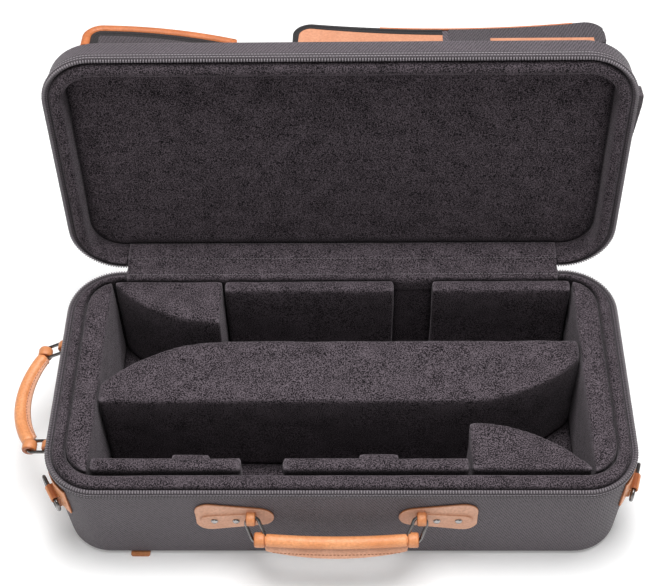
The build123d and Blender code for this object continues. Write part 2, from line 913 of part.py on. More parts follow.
def pocket_side_plane(ends, y):
    """A plane on the pocket's left side: y away from the hinge, z out of the side."""
    spot = Plane(
        (ends[0], y, lid_top + pocket_side - zip_band / 2), x_dir=(0, 0, -1), z_dir=(-1, 0, 0)
    )
    return in_lid(spot)


pocket_run_length = pocket_back - pocket_front - 2 * pocket_corner
pocket_middle_y = (pocket_back + pocket_front) / 2
inner_band = trim_band + zip_band + 2 * band_gap

left_sizes = (left_pocket_ends, left_pocket_middle, left_pocket_thin)
left_outline = pocket_profile(*left_sizes, trim_lap)
keep("pocket_left", pocket_pouch(left_pocket_ends, pocket_profile(*left_sizes, pocket_lap)))
with BuildPart() as pocket_left_leather:
    add(face_band(left_outline, 0, trim_band, left_pocket_ends))
    add(face_band(left_outline, inner_band, 0, left_pocket_ends))
keep("pocket_left_leather", pocket_left_leather.part)
with BuildPart() as pocket_left_zip:
    add(face_band(left_outline, trim_band + band_gap, zip_band, left_pocket_ends))
    side_run = pocket_side_plane(left_pocket_ends, pocket_middle_y)
    add(zip_run(side_run, pocket_run_length, zip_band, trim_thickness))
keep("pocket_left_zip", pocket_left_zip.part)

right_sizes = (right_pocket_ends, right_pocket_middle, pocket_swell)
right_outline = pocket_profile(*right_sizes, trim_lap)
zip_ends = (right_pocket_ends[0], garage_x)
panel_ends = (garage_x, right_pocket_ends[1] - pocket_shoulder)
keep("pocket_right", pocket_pouch(right_pocket_ends, pocket_profile(*right_sizes, pocket_lap)))
with BuildPart() as pocket_right_leather:
    add(face_band(right_outline, zip_band + band_gap, 0, zip_ends))
    with BuildSketch(pocket_face):
        with Locations((sum(panel_ends) / 2, 0)):
            Rectangle(panel_ends[1] - panel_ends[0], 2 * panel_strip)
    extrude(amount=trim_thickness)
    add(lid_form, mode=Mode.SUBTRACT)
keep("pocket_right_leather", pocket_right_leather.part)
with BuildPart() as pocket_right_zip:
    add(face_band(right_outline, 0, zip_band, zip_ends))
    side_run = pocket_side_plane(right_pocket_ends, pocket_middle_y)
    add(zip_run(side_run, pocket_run_length, zip_band, trim_thickness))
keep("pocket_right_zip", pocket_right_zip.part)


# Zip sliders, each with a pull that swings on a pin between two ears
def zip_slider(plane):
    """A slider that straddles the teeth, with the plane on the tape: y along the zip."""
    top = slider_play + slider_height
    ear_x = pull_width / 2 + slider_play + ear_thickness / 2
    pin_z = top + pin_lift
    with BuildPart() as slider:
        with BuildSketch(plane.offset(slider_play)):
            RectangleRounded(slider_width, slider_length, 2 * slider_edge)
        extrude(amount=slider_height)
        upper = slider.faces().sort_by(Axis(plane.origin, plane.z_dir))[-1]
        fillet(upper.edges(), slider_edge)
        with BuildSketch(plane.offset(top - slider_edge)):
            with Locations((ear_x, 0), (-ear_x, 0)):
                Rectangle(ear_thickness, ear_length)
        extrude(amount=slider_edge + pin_lift + pin_radius + ear_thickness)
        with BuildSketch(Plane(at(plane, 0, 0, pin_z).origin, z_dir=plane.x_dir)):
            Circle(pin_radius)
        extrude(amount=ear_x, both=True)
        with BuildSketch(plane):
            Rectangle(spine_width + 2 * slider_play, 2 * slider_length)
        extrude(amount=spine_height + slider_play, mode=Mode.SUBTRACT)
    return slider.part


def zip_pull(plane):
    """The pull: a barrel round the pin and a flat tab with a hole, lying along the zip."""
    pin_z = slider_play + slider_height + pin_lift
    pin_plane = Plane(at(plane, 0, 0, pin_z).origin, x_dir=plane.y_dir, z_dir=plane.x_dir)
    with BuildPart() as pull:
        with BuildSketch(pin_plane):
            Circle(pin_radius + pin_play + barrel_wall)
        extrude(amount=pull_width / 2, both=True)
        with BuildSketch(plane.offset(pin_z)):
            with Locations((0, -pull_length / 2)):
                RectangleRounded(pull_width, pull_length, pull_width / 2 - pin_play)
            with Locations((0, pull_width / 2 - pull_length)):
                Circle(pin_radius, mode=Mode.SUBTRACT)
        extrude(amount=pull_thickness / 2, both=True)
        with BuildSketch(pin_plane):
            Circle(pin_radius + pin_play)
        extrude(amount=pull_width, both=True, mode=Mode.SUBTRACT)
    return pull.part


slider_places = {
    "zip_left": tail_plane(-1, base_slider_z).offset(tape_thickness),
    "zip_right": tail_plane(1, base_slider_z).offset(tape_thickness),
    "pocket_left_zip": pocket_side_plane(left_pocket_ends, pocket_slider_y).offset(trim_thickness),
    "pocket_right_zip": pocket_side_plane(right_pocket_ends, pocket_slider_y).offset(trim_thickness),
}
for name, place in slider_places.items():
    keep(f"{name}_slider", zip_slider(place))
    keep(f"{name}_pull", zip_pull(place))


# Webbing keeper: folded webbing sewn to the lid's right side, proud at its front end
keeper_z = lid_rim + keeper_rise
keeper_x = case_length / 2 - keeper_rise * tan(radians(wall_draft))
lid_side = Vector(cos(radians(wall_draft)), 0, sin(radians(wall_draft)))
along_lid = Vector(0, 1, 0)
keeper_frame = Plane(
    (keeper_x, keeper_centre_y, keeper_z), x_dir=along_lid, z_dir=along_lid.cross(lid_side)
)
with BuildPart() as lid_keeper:
    with BuildSketch(in_lid(keeper_frame)):
        with BuildLine():
            Polyline(
                (-keeper_length / 2, 0),
                (-keeper_length / 2, keeper_stand_off),
                (keeper_nose - keeper_length / 2, keeper_stand_off),
                (keeper_length / 2, webbing),
                (keeper_length / 2, 0),
                close=True,
            )
        make_face()
    extrude(amount=keeper_height / 2, both=True)
    outer_edges = lid_keeper.faces().sort_by(Axis(lid_keeper.part.center(), (1, 0, 0)))[-1].edges()
    fillet(outer_edges, keeper_edge)
    add(lid_zip_chain.part, mode=Mode.SUBTRACT)
keep("lid_keeper", lid_keeper.part)

# Leather tab sewn under the front edge of the base
with BuildPart() as edge_tab:
    with BuildSketch():
        with Locations((edge_tab_x, (edge_tab_front + edge_tab_back) / 2)):
            RectangleRounded(edge_tab_width, edge_tab_back - edge_tab_front, leather)
    extrude(amount=leather)
    add(base_block(), mode=Mode.SUBTRACT)
keep("edge_tab", edge_tab.part)

os.makedirs("parts", exist_ok=True)
for name, part in pieces.items():
    export_step(part, f"parts/{name}.step")
    print(name, round(part.volume))
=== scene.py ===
"""The looks of the double trumpet case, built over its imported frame.

Metres, in the frame's own axes: X along the case, Y to the back, Z up. Pieces of the lid are
drawn as if it were shut and then swung open about the hinge line with the rest of the lid.
"""

from math import atan2, cos, hypot, pi, radians, sin, tan

import bmesh
import bpy
import numpy as np
from mathutils import Matrix, Vector, noise


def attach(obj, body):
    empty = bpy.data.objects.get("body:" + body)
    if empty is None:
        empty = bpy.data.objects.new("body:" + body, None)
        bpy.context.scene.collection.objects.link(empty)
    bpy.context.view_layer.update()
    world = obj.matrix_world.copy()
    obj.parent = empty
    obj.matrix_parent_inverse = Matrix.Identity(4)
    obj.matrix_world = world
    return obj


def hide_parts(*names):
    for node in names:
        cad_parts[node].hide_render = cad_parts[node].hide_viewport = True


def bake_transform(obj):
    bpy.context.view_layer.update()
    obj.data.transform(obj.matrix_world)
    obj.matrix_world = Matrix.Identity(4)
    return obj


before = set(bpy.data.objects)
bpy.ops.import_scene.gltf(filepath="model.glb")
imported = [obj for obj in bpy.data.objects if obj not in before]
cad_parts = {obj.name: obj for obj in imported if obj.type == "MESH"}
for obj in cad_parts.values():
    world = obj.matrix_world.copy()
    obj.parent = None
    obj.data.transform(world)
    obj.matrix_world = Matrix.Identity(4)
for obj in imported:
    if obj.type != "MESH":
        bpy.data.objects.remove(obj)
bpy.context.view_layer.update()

scene = bpy.context.scene


# The camera stands where the photograph was taken from, in front of the case and well above
# it. Its lens is given by the focal length that was fitted, in pixels of a 665 pixel picture.
camera_place = Vector((0.02016, -0.8174, 1.2638))
camera_pitch = 0.888
camera_yaw = -0.032
camera_roll = 0.028
focal_pixels = 1393.9
photo_width = 665

ahead = Vector(
    (sin(camera_yaw) * cos(camera_pitch), cos(camera_yaw) * cos(camera_pitch), -sin(camera_pitch))
)
level_right = Vector((cos(camera_yaw), -sin(camera_yaw), 0))
level_down = ahead.cross(level_right)
picture_right = cos(camera_roll) * level_right + sin(camera_roll) * level_down
picture_up = sin(camera_roll) * level_right - cos(camera_roll) * level_down
camera_data = bpy.data.cameras.new("camera")
camera_data.sensor_width = 36.0
camera_data.lens = focal_pixels / photo_width * camera_data.sensor_width
camera_data.clip_end = 20.0


def frame_at(origin, x_axis, y_axis, z_axis):
    """A frame at a place, given by its three axes."""
    return Matrix.Translation(origin) @ Matrix((x_axis, y_axis, z_axis)).transposed().to_4x4()


camera = bpy.data.objects.new("camera", camera_data)
camera.matrix_world = frame_at(camera_place, picture_right, picture_up, -ahead)
scene.collection.objects.link(camera)
scene.camera = camera


# The floor is plain and nearly white, and the light is soft: a bright sky all round, one
# large lamp overhead and a weaker one in front on the left.
floor_half = 6.0
floor_mesh = bpy.data.meshes.new("floor")
floor_mesh.from_pydata(
    [(x * floor_half, y * floor_half, 0) for x, y in ((-1, -1), (1, -1), (1, 1), (-1, 1))],
    [],
    [(0, 1, 2, 3)],
)
floor = bpy.data.objects.new("floor", floor_mesh)
scene.collection.objects.link(floor)


def fill_inputs(tree, node, values):
    """Sets a node's inputs by name or number: another node's socket is linked to it."""
    for label, value in values.items():
        if isinstance(value, bpy.types.NodeSocket):
            tree.links.new(value, node.inputs[label])
        else:
            node.inputs[label].default_value = value


floor_paint = bpy.data.materials.new("floor_paint")
floor_paint.use_nodes = True
fill_inputs(floor_paint.node_tree, floor_paint.node_tree.nodes["Principled BSDF"], {
    "Base Color": (0.9, 0.9, 0.9, 1),
    "Roughness": 0.9,
    "Emission Color": (1, 1, 1, 1),
    "Emission Strength": 0.16,
})
floor_mesh.materials.append(floor_paint)

sky = bpy.data.worlds.new("sky")
sky.use_nodes = True
fill_inputs(sky.node_tree, sky.node_tree.nodes["Background"], {
    "Color": (1.0, 0.99, 0.98, 1), "Strength": 0.3,
})
scene.world = sky
scene.view_settings.view_transform = "Standard"


lamp_aim = Vector((0, 0, 0.1))
lamp_size = 1.2


def soft_lamp(name, place, power):
    """A square area lamp that points at the case."""
    data = bpy.data.lights.new(name, "AREA")
    data.size = lamp_size
    data.energy = power
    lamp = bpy.data.objects.new(name, data)
    lamp.location = place
    lamp.rotation_euler = (lamp_aim - Vector(place)).to_track_quat("-Z", "Y").to_euler()
    scene.collection.objects.link(lamp)


soft_lamp("overhead_lamp", (0.1, 0.1, 2.2), 62)
soft_lamp("front_lamp", (-0.5, -2.2, 0.7), 5)


# Ballistic nylon: a charcoal basket weave of thick yarns, which shows as fine slanting ribs.
# The weave is a node group that every woven material places with its own pitch.
def new_group(name, inputs, outputs, tree_kind="ShaderNodeTree"):
    """An empty node group with named sockets, and its input and output nodes."""
    group = bpy.data.node_groups.new(name, tree_kind)
    for direction, sockets in (("INPUT", inputs), ("OUTPUT", outputs)):
        for label, kind in sockets.items():
            group.interface.new_socket(label, in_out=direction, socket_type="NodeSocket" + kind)
    return group, group.nodes.new("NodeGroupInput"), group.nodes.new("NodeGroupOutput")


def new_node(tree, kind, values, **settings):
    """A node with its settings and its inputs."""
    node = tree.nodes.new(kind)
    for label, value in settings.items():
        setattr(node, label, value)
    fill_inputs(tree, node, values)
    return node


def math_node(tree, operation, first, second=0.5):
    """A sum, product or other operation on sockets or plain numbers."""
    return new_node(tree, "ShaderNodeMath", {0: first, 1: second}, operation=operation).outputs[0]


def noise_node(tree, vector, scale, detail, roughness=0.5):
    """A noise texture's value at the given coordinates."""
    values = {"Vector": vector, "Scale": scale, "Detail": detail, "Roughness": roughness}
    return new_node(tree, "ShaderNodeTexNoise", values).outputs["Fac"]


def ramp_node(tree, value, low, high, bottom=0.0, top=1.0):
    """Maps a value so that low becomes the bottom and high becomes the top."""
    values = {"Value": value, "From Min": low, "From Max": high, "To Min": bottom, "To Max": top}
    return new_node(tree, "ShaderNodeMapRange", values).outputs["Result"]


def add_weighted(tree, first, second, weight):
    """A value plus another one times its weight."""
    return math_node(tree, "ADD", first, math_node(tree, "MULTIPLY", second, weight))


def divided_vector(group, given, size):
    """A group's coordinates divided by one of its sizes."""
    scale = math_node(group, "DIVIDE", 1.0, given.outputs[size])
    values = {"Vector": given.outputs["Vector"], "Scale": scale}
    return new_node(group, "ShaderNodeVectorMath", values, operation="SCALE").outputs["Vector"]


def mix_colours(tree, share, first, second):
    """Two colours mixed by a value."""
    node = new_node(tree, "ShaderNodeMix", {"Factor": share}, data_type="RGBA")
    for label, colour in (("A", first), ("B", second)):
        number = next(i for i, s in enumerate(node.inputs) if s.name == label and s.type == "RGBA")
        plain = not isinstance(colour, bpy.types.NodeSocket)
        fill_inputs(tree, node, {number: (*colour, 1) if plain else colour})
    return next(s for s in node.outputs if s.type == "RGBA")


def weave_group():
    """Basket weave: yarns of one pitch that go over and under each other by turns."""
    group, given, made = new_group(
        "basket_weave", {"Vector": "Vector", "Pitch": "Float"}, {"Height": "Float", "Shade": "Float"}
    )
    scaled = divided_vector(group, given, "Pitch")
    parts = new_node(group, "ShaderNodeSeparateXYZ", {"Vector": scaled})
    across = parts.outputs["X"]
    along = parts.outputs["Y"]
    warp, weft = [
        math_node(group, "ABSOLUTE", math_node(group, "SINE", math_node(group, "MULTIPLY", axis, pi)))
        for axis in (across, along)
    ]
    cell = math_node(group, "ADD", math_node(group, "FLOOR", across), math_node(group, "FLOOR", along))
    turn = math_node(group, "PINGPONG", cell, 1.0)
    warp_shown = math_node(group, "MULTIPLY", warp, turn)
    weft_shown = math_node(group, "MULTIPLY", weft, math_node(group, "SUBTRACT", 1.0, turn))
    height = math_node(group, "POWER", math_node(group, "ADD", warp_shown, weft_shown), 0.6)
    wander = noise_node(group, scaled, 0.35, 2)
    fill_inputs(group, made, {"Height": height, "Shade": math_node(group, "MULTIPLY", height, wander)})
    return group


basket_weave = weave_group()


def new_material(name, slot_colour):
    """A material with its shader node, which takes its viewport colour from a plain colour."""
    material = bpy.data.materials.new(name)
    material.use_nodes = True
    material.diffuse_color = (*slot_colour, 1)
    return material, material.node_tree, material.node_tree.nodes["Principled BSDF"]


def bumped(tree, height, distance):
    """A bump node's normal, with its depth in metres."""
    return new_node(tree, "ShaderNodeBump", {"Height": height, "Distance": distance}).outputs["Normal"]


def coordinates(tree, kind, turn=0.0):
    """Object or UV coordinates, turned about Z where a weave runs askew."""
    source = tree.nodes.new("ShaderNodeTexCoord").outputs[kind]
    values = {"Vector": source, "Rotation": (0, 0, turn)}
    return new_node(tree, "ShaderNodeMapping", values).outputs["Vector"] if turn else source


rib_pitch = 0.0029
rib_turn = radians(-32)


def woven_material(
    name, dark, light, pitch=0.0013, depth=0.0004, turn=radians(28), roughness=0.6, sheen=0.15, ribs=0.3
):
    """Cloth with a visible weave and slanting ribs, worn a little lighter in patches."""
    material, tree, shader = new_material(name, light)
    values = {"Vector": coordinates(tree, "UV", turn), "Pitch": pitch}
    weave = new_node(tree, "ShaderNodeGroup", values, node_tree=basket_weave)
    patches = noise_node(tree, coordinates(tree, "Object"), 14.0, 4)
    share = add_weighted(tree, weave.outputs["Shade"], patches, 0.35)
    slant = new_node(tree, "ShaderNodeSeparateXYZ", {"Vector": coordinates(tree, "UV", rib_turn)})
    rib_waves = math_node(tree, "MULTIPLY", slant.outputs["X"], 2 * pi / rib_pitch)
    rib = math_node(tree, "SINE", rib_waves)
    share = add_weighted(tree, share, rib, ribs)
    fill_inputs(tree, shader, {
        "Base Color": mix_colours(tree, ramp_node(tree, share, 0.1, 0.85), dark, light),
        "Roughness": roughness,
        "Sheen Weight": sheen,
        "Sheen Roughness": 0.5,
        "Specular IOR Level": 0.3,
        "Normal": bumped(tree, weave.outputs["Height"], depth),
    })
    return material


nylon = woven_material("nylon", (0.02, 0.016, 0.0195), (0.12, 0.098, 0.115))


# The two shells: moulded foam sheet under the nylon. Each is drawn as rings that follow the
# rounded rectangle of the rim, from the rim over the far edge and back up inside the wall.
half_length = 0.285
half_depth = 0.136
corner_radius = 0.052
shell_wall = 0.004
wall_draft = radians(2.5)
base_rim = 0.1255
lid_rim = 0.1325
lid_top = 0.164
base_edge = 0.008
lid_edge = 0.006
hinge_y = 0.1379
hinge_z = 0.1208
hinge_line = Vector((0, hinge_y, hinge_z))
lid_open = (
    Matrix.Translation(hinge_line) @ Matrix.Rotation(radians(-95), 4, "X")
    @ Matrix.Translation(-hinge_line)
)

straight_x = half_length - corner_radius
straight_y = half_depth - corner_radius
quarter = corner_radius * pi / 2
side_start = straight_x + quarter
back_corner_start = side_start + 2 * straight_y
back_start = back_corner_start + quarter
rim_half = back_start + straight_x


def outline_place(run, half_x, front, back, corner):
    """A place on a rounded rectangle, across from one on the rim, and its outward direction.

    run is the distance along the rim from the front's middle, below 0 on the left.
    """
    side = 1 if run >= 0 else -1
    run = abs(run)
    middle_x = half_x - corner
    low_y = front + corner
    high_y = back - corner
    if run <= straight_x:
        x, y, turn = run / straight_x * middle_x, low_y, 0
    elif run <= side_start:
        x, y, turn = middle_x, low_y, (run - straight_x) / corner_radius
    elif run <= back_corner_start:
        share = (run - side_start) / (back_corner_start - side_start)
        x, y, turn = middle_x, low_y + share * (high_y - low_y), pi / 2
    elif run <= back_start:
        x, y, turn = middle_x, high_y, pi / 2 + (run - back_corner_start) / corner_radius
    else:
        x, y, turn = (1 - (run - back_start) / straight_x) * middle_x, high_y, pi
    out = Vector((side * sin(turn), -cos(turn), 0))
    return Vector((side * x, y, 0)) + out * corner, out


def rim_place(run):
    """The place on the rim at a distance along it, and its outward direction."""
    return outline_place(run, half_length, -half_depth, half_depth, corner_radius)


def rim_runs(reach):
    """Distances along the rim out to a reach on both sides, closer together in the corners."""
    step = 0.012
    corner_steps = 14
    marks = [0, straight_x, side_start, back_corner_start, back_start, rim_half]
    found = [0.0]
    for start, end in zip(marks, marks[1:]):
        in_corner = start in (straight_x, back_corner_start)
        count = corner_steps if in_corner else max(1, round((end - start) / step))
        found += [start + (end - start) * (i + 1) / count for i in range(count)]
    found = [run for run in found if run < reach - step / 4] + [reach]
    return [-run for run in reversed(found[1:])] + found


wholly_smooth = 180


def new_piece(name, mesh, material, body, smooth_angle=40, node=None):
    """An object of the finished mesh, with its material and slot.

    It rides on a body and takes a solid's place, each where that is given.
    """
    mesh.materials.clear()
    mesh.materials.append(material)
    mesh.shade_smooth()
    mesh.set_sharp_from_angle(angle=radians(smooth_angle))
    piece = bpy.data.objects.new(name, mesh)
    scene.collection.objects.link(piece)
    if body:
        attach(piece, body)
    if node:
        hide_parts(node)
    return piece


def fill_merged(mesh, source):
    """Fills a mesh from a source, with doubled points merged and every face turned outward."""
    same_place = 1e-6
    work = bmesh.new()
    work.from_mesh(source)
    bmesh.ops.remove_doubles(work, verts=work.verts, dist=same_place)
    bmesh.ops.recalc_face_normals(work, faces=work.faces)
    work.to_mesh(mesh)
    work.free()


def lofted(name, rings, closed_rings, closed_loft, spans=None):
    """A mesh through rings of points, with UVs in metres along the rings and across them.

    spans are the distances along the first ring. A closed ring repeats its first distance.
    """
    count = len(rings[0])
    points = [point for ring in rings for point in ring]
    if spans is None:
        spans = [0.0]
        for first, second in zip(rings[0], rings[0][1:] + rings[0][:1]):
            spans.append(spans[-1] + (Vector(second) - Vector(first)).length)
    across = [0.0]
    pairs = list(zip(rings, rings[1:])) + ([(rings[-1], rings[0])] if closed_loft else [])
    for first, second in pairs:
        steps = [(Vector(a) - Vector(b)).length for a, b in zip(first, second)]
        across.append(across[-1] + sum(steps) / len(steps))
    faces = []
    uvs = []
    columns = count if closed_rings else count - 1
    for row in range(len(pairs)):
        below = row * count
        above = ((row + 1) % len(rings)) * count
        for column in range(columns):
            after = (column + 1) % count
            faces.append((below + column, below + after, above + after, above + column))
            left, right = spans[column], spans[column + 1]
            low, high = across[row], across[row + 1]
            uvs += [(left, low), (right, low), (right, high), (left, high)]
    if closed_rings and not closed_loft:
        for end in (0, len(rings) - 1):
            faces.append(tuple(end * count + i for i in range(count)))
            uvs += [(point[0], point[1]) for point in rings[end]]
    if closed_loft and not closed_rings:
        for end in (0, count - 1):
            faces.append(tuple(row * count + end for row in range(len(rings))))
            uvs += [(rings[row][end][1], rings[row][end][2]) for row in range(len(rings))]
    mesh = bpy.data.meshes.new(name)
    mesh.from_pydata(points, [], faces)
    layer = mesh.uv_layers.new(name="cloth")
    layer.data.foreach_set("uv", np.array(uvs, np.float32).ravel())
    fill_merged(mesh, mesh)
    return mesh


def rim_path(inset, height, runs):
    """Points along the rim at an inset and a height."""
    points = []
    for run in runs:
        place, out = rim_place(run)
        points.append(place - out * inset + Vector((0, 0, height)))
    return points


def rim_rings(profile, runs):
    """One ring for each (inset, height) of a profile, following the rim."""
    return [rim_path(inset, height, runs) for inset, height in profile]


def shell_profile(rim, far, edge, wall):
    """Inset and height from the rim down the drafted wall and round the far edge."""
    up = 1 if far > rim else -1
    straight = abs(far - rim) - edge
    steps = 9
    rows = []
    for i in range(steps):
        depth = straight * i / (steps - 1)
        rows.append((wall + depth * tan(wall_draft), rim + up * depth))
    wall_foot = rows[-1][0]
    for i in range(1, steps + 1):
        turn = wall_draft + (pi / 2 - wall_draft) * i / steps
        inset = wall_foot + edge * (cos(wall_draft) - cos(turn))
        rows.append((inset, rim + up * (straight + edge * (sin(turn) - sin(wall_draft)))))
    return rows


closed_runs = rim_runs(rim_half)[:-1]


def shell_mesh(name, rim, far, edge):
    """The shell as one closed mesh: the outside, the rim's lip and the inside."""
    outside = shell_profile(rim, far, edge, 0.0)
    up = 1 if far > rim else -1
    inside = shell_profile(rim, far - up * shell_wall, edge - shell_wall, shell_wall)
    spans = closed_runs + [rim_half]
    return lofted(name, rim_rings(outside[::-1] + inside, closed_runs), True, False, spans)


def swung(mesh, body):
    """The mesh, swung open about the hinge if it is part of the lid."""
    if body == "lid":
        mesh.transform(lid_open)
    return mesh


for body, rim, far, edge in (("base", base_rim, 0.0, base_edge), ("lid", lid_rim, lid_top, lid_edge)):
    cover_mesh = swung(shell_mesh(f"{body}_cover", rim, far, edge), body)
    new_piece(f"{body}_cover", cover_mesh, nylon, body, node=f"{body}_shell")


# Plush linings: the foam walls of both halves are covered in a short pile cloth that is rolled
# over the rim, so a plump edge stands beside the zip. Along the hinge the edge is cut away.
def pile_group():
    """Short pile: lighter tips that lie in clumps, and the height of the pile."""
    group, given, made = new_group(
        "short_pile", {"Vector": "Vector", "Grain": "Float"}, {"Height": "Float", "Shade": "Float"}
    )
    scaled = divided_vector(group, given, "Grain")
    tips = noise_node(group, scaled, 1.0, 2, 0.6)
    clumps = noise_node(group, scaled, 0.06, 2)
    height = add_weighted(group, tips, clumps, 0.14)
    fill_inputs(group, made, {"Height": height, "Shade": ramp_node(group, height, 0.5, 0.66)})
    return group


short_pile = pile_group()


def plush_material(name, dark, light, painted_edge_highlight, painted_shade_reach):
    """Plush, dark between the tufts, lighter at its tips, with painted highlight on edges and painted
    shade in folds.
    """
    material, tree, shader = new_material(name, light)
    values = {"Vector": coordinates(tree, "Object"), "Grain": 0.0011}
    pile = new_node(tree, "ShaderNodeGroup", values, node_tree=short_pile)
    tufts = mix_colours(tree, pile.outputs["Shade"], dark, light)
    # Painted highlight: sharp convex edges are mixed toward a lighter colour, standing in for light
    # caught by the pile.
    edges = tree.nodes.new("ShaderNodeNewGeometry").outputs["Pointiness"]
    tufts_with_painted_highlight = mix_colours(tree, ramp_node(tree, edges, 0.535, 0.62), tufts, painted_edge_highlight)
    # Painted shade: the colour goes toward the dark tuft colour where other surfaces are near, in folds,
    # grooves and under edges.
    painted_fold_shade = new_node(tree, "ShaderNodeAmbientOcclusion", {"Distance": painted_shade_reach}, samples=4)
    painted_shade_openness = ramp_node(tree, painted_fold_shade.outputs["AO"], 0.35, 0.95)
    fill_inputs(tree, shader, {
        "Base Color": mix_colours(tree, painted_shade_openness, dark, tufts_with_painted_highlight),
        "Roughness": 0.95,
        "Specular IOR Level": 0.1,
        "Sheen Weight": 0.25,
        "Sheen Roughness": 0.35,
        "Sheen Tint": (0.8, 0.72, 0.78, 1),
        "Normal": bumped(tree, pile.outputs["Height"], 0.0009),
    })
    return material


# The third colour is the painted edge highlight, and the last number is how far the painted shade in
# folds reaches.
plush = plush_material(
    "plush", (0.006, 0.005, 0.006), (0.122, 0.1, 0.115), (0.24, 0.205, 0.23), 0.008
)

well_half_length = 0.268
well_front = -0.1145
well_back = 0.1265
well_corner = 0.034
zip_end = 0.229


def well_place(run, inward=0.0):
    """The place on the well's outline across from one on the rim, moved inward."""
    return outline_place(
        run, well_half_length - inward, well_front + inward, well_back - inward, well_corner - inward
    )[0]


def lining_profile(depth):
    """Share of the way from shell to well, and height above the rim, round the whole lining."""
    edge = 0.0055
    crown = 0.0034
    tuck = edge + 0.002
    roll_steps = 12
    wall_steps = 8
    rows = [(0.35, depth), (0.06, -0.02), (0.03, -edge)]
    for i in range(1, roll_steps):
        turn = pi * i / roll_steps
        lift = sin(turn) ** 0.7
        rows.append((0.5 - 0.5 * cos(turn), -edge + (edge + crown) * lift))
    return rows + [(1.0, -tuck + (depth + tuck) * i / wall_steps) for i in range(wall_steps + 1)]


# Distance along the rim to each end of the zip, where the lining's edge is cut away
zip_reach = back_start + straight_x - zip_end
lining_runs = sorted(
    set(closed_runs) | {side * (zip_reach + d) for side in (-1, 1) for d in (-0.004, -0.0015, 0.0015)}
)


def lining_mesh(name, rim, toward, depth, notch):
    """The lining as one closed loft, waved a little as sewn plush is.

    Its edge goes down to the notch along the hinge, to let the strip pass.
    """
    shell_gap = 0.0003
    wave_height = 0.0007
    rings = []
    for share, height in lining_profile(depth):
        ring = []
        for run in lining_runs:
            place, out = rim_place(run)
            spot = (place - out * (shell_wall + shell_gap)).lerp(well_place(run), share)
            level = min(height, notch) if abs(run) > zip_reach else height
            wave = noise.noise(Vector((spot.x * 16, spot.y * 16, rim * 40))) * wave_height
            ring.append(spot + out * -wave * (share > 0.2) + Vector((0, 0, rim + toward * level)))
        rings.append(ring)
    return lofted(name, rings, True, True, lining_runs + [rim_half])


for body, rim, toward, depth, notch in (
    ("base", base_rim, 1, -0.1158, hinge_z - 0.002 - base_rim), ("lid", lid_rim, -1, -0.0238, -0.002)
):
    mesh = swung(lining_mesh(f"{body}_lining", rim, toward, depth, notch), body)
    new_piece(f"{body}_lining", mesh, plush, body, node=f"{body}_wall_lining")


# The floor and the lid's panel: thin foam boards wrapped in the same plush, a little uneven
# where the pile has been pressed.
def board_mesh(name, bottom, top, swell):
    """A board with the well's outline, whose top face swells a little toward its middle."""
    rows = [(0.0005, bottom), (0.0005, bottom * 0.4 + top * 0.6)]
    rows += [(0.0011, bottom * 0.1 + top * 0.9), (0.003, top)]
    rings = [[well_place(run, inset) + Vector((0, 0, z)) for run in closed_runs] for inset, z in rows]
    middle = Vector((0, (well_front + well_back) / 2, top))
    outer_ring = rings[-1]
    lump_height = 0.0012
    toward = 1 if top > bottom else -1
    steps = 12
    for i in range(1, steps):
        share = i / steps
        ring = []
        for point in outer_ring:
            spot = point.lerp(middle, share)
            lump = noise.noise(Vector((spot.x * 9, spot.y * 9, top * 30))) * lump_height
            ring.append(spot + Vector((0, 0, toward * (swell + lump) * sin(share * pi / 2))))
        rings.append(ring)
    return lofted(name, rings, True, False, closed_runs + [rim_half])


for name, body, node, bottom, top, swell in (
    ("floor_board", "base", "base_floor_lining", 0.0043, 0.009, 0.0006),
    ("lid_board", "lid", "lid_panel", lid_top - 0.005, lid_top - 0.0075, 0.0012),
):
    mesh = swung(board_mesh(name, bottom, top, swell), body)
    new_piece(name, mesh, plush, body, node=node)


# The foam insert: blocks cut from soft foam and wrapped in plush, glued along their undersides.
# Each is its solid made again in small cells, so its edges round off, and pressed out of true.
# The photograph shows their tops a little above those of the solids, so they are drawn taller.
block_rise = 0.0032
block_foot = 0.009
block_height = 0.116


def finished_mesh(name, holder):
    """The plain mesh that an object's modifiers make. The object goes, with the mesh it had."""
    bpy.context.view_layer.update()
    shaped = holder.evaluated_get(bpy.context.evaluated_depsgraph_get())
    made = bpy.data.meshes.new_from_object(shaped)
    source = holder.data
    bpy.data.objects.remove(holder)
    bpy.data.meshes.remove(source)
    made.name = name
    return made


def soft_block(node, name, cell, rounding, unevenness, rise=block_rise):
    """A softened copy of a solid, drawn taller by a rise, and uneven in lumps of two sizes."""
    source = bpy.data.meshes.new(name)
    fill_merged(source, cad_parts[node].data)
    for vertex in source.vertices:
        vertex.co.z += rise * (vertex.co.z - block_foot) / block_height
    holder = bpy.data.objects.new(name, source)
    scene.collection.objects.link(holder)
    cells = holder.modifiers.new("cells", "REMESH")
    cells.mode = "VOXEL"
    cells.voxel_size = cell
    rounder = holder.modifiers.new("rounder", "SMOOTH")
    rounder.iterations = rounding
    rounder.factor = 0.5
    made = finished_mesh(name, holder)
    normals = [vertex.normal.copy() for vertex in made.vertices]
    for vertex, normal in zip(made.vertices, normals):
        lump = noise.noise(vertex.co * 22) + 0.5 * noise.noise(vertex.co * 60)
        vertex.co += normal * (lump * unevenness - unevenness * 0.6)
    return made


insert_blocks = {
    "end_block_left": "left_end_block",
    "end_block_right": "right_end_block",
    "divider": "middle_divider",
    "bell_wedge_back": "back_bell_wedge",
    "bell_wedge_front": "front_bell_wedge",
    "pad_back_middle": "back_middle_pad",
    "pad_back_right": "back_right_pad",
    "pad_front_middle": "front_middle_pad",
    "pad_front_left": "front_left_pad",
    "rest_pad_left": "left_rest_pad",
    "rest_pad_middle": "middle_rest_pad",
}
for node, name in insert_blocks.items():
    mesh = soft_block(node, name, cell=0.003, rounding=9, unevenness=0.0006)
    new_piece(name, mesh, plush, "base", wholly_smooth, node)


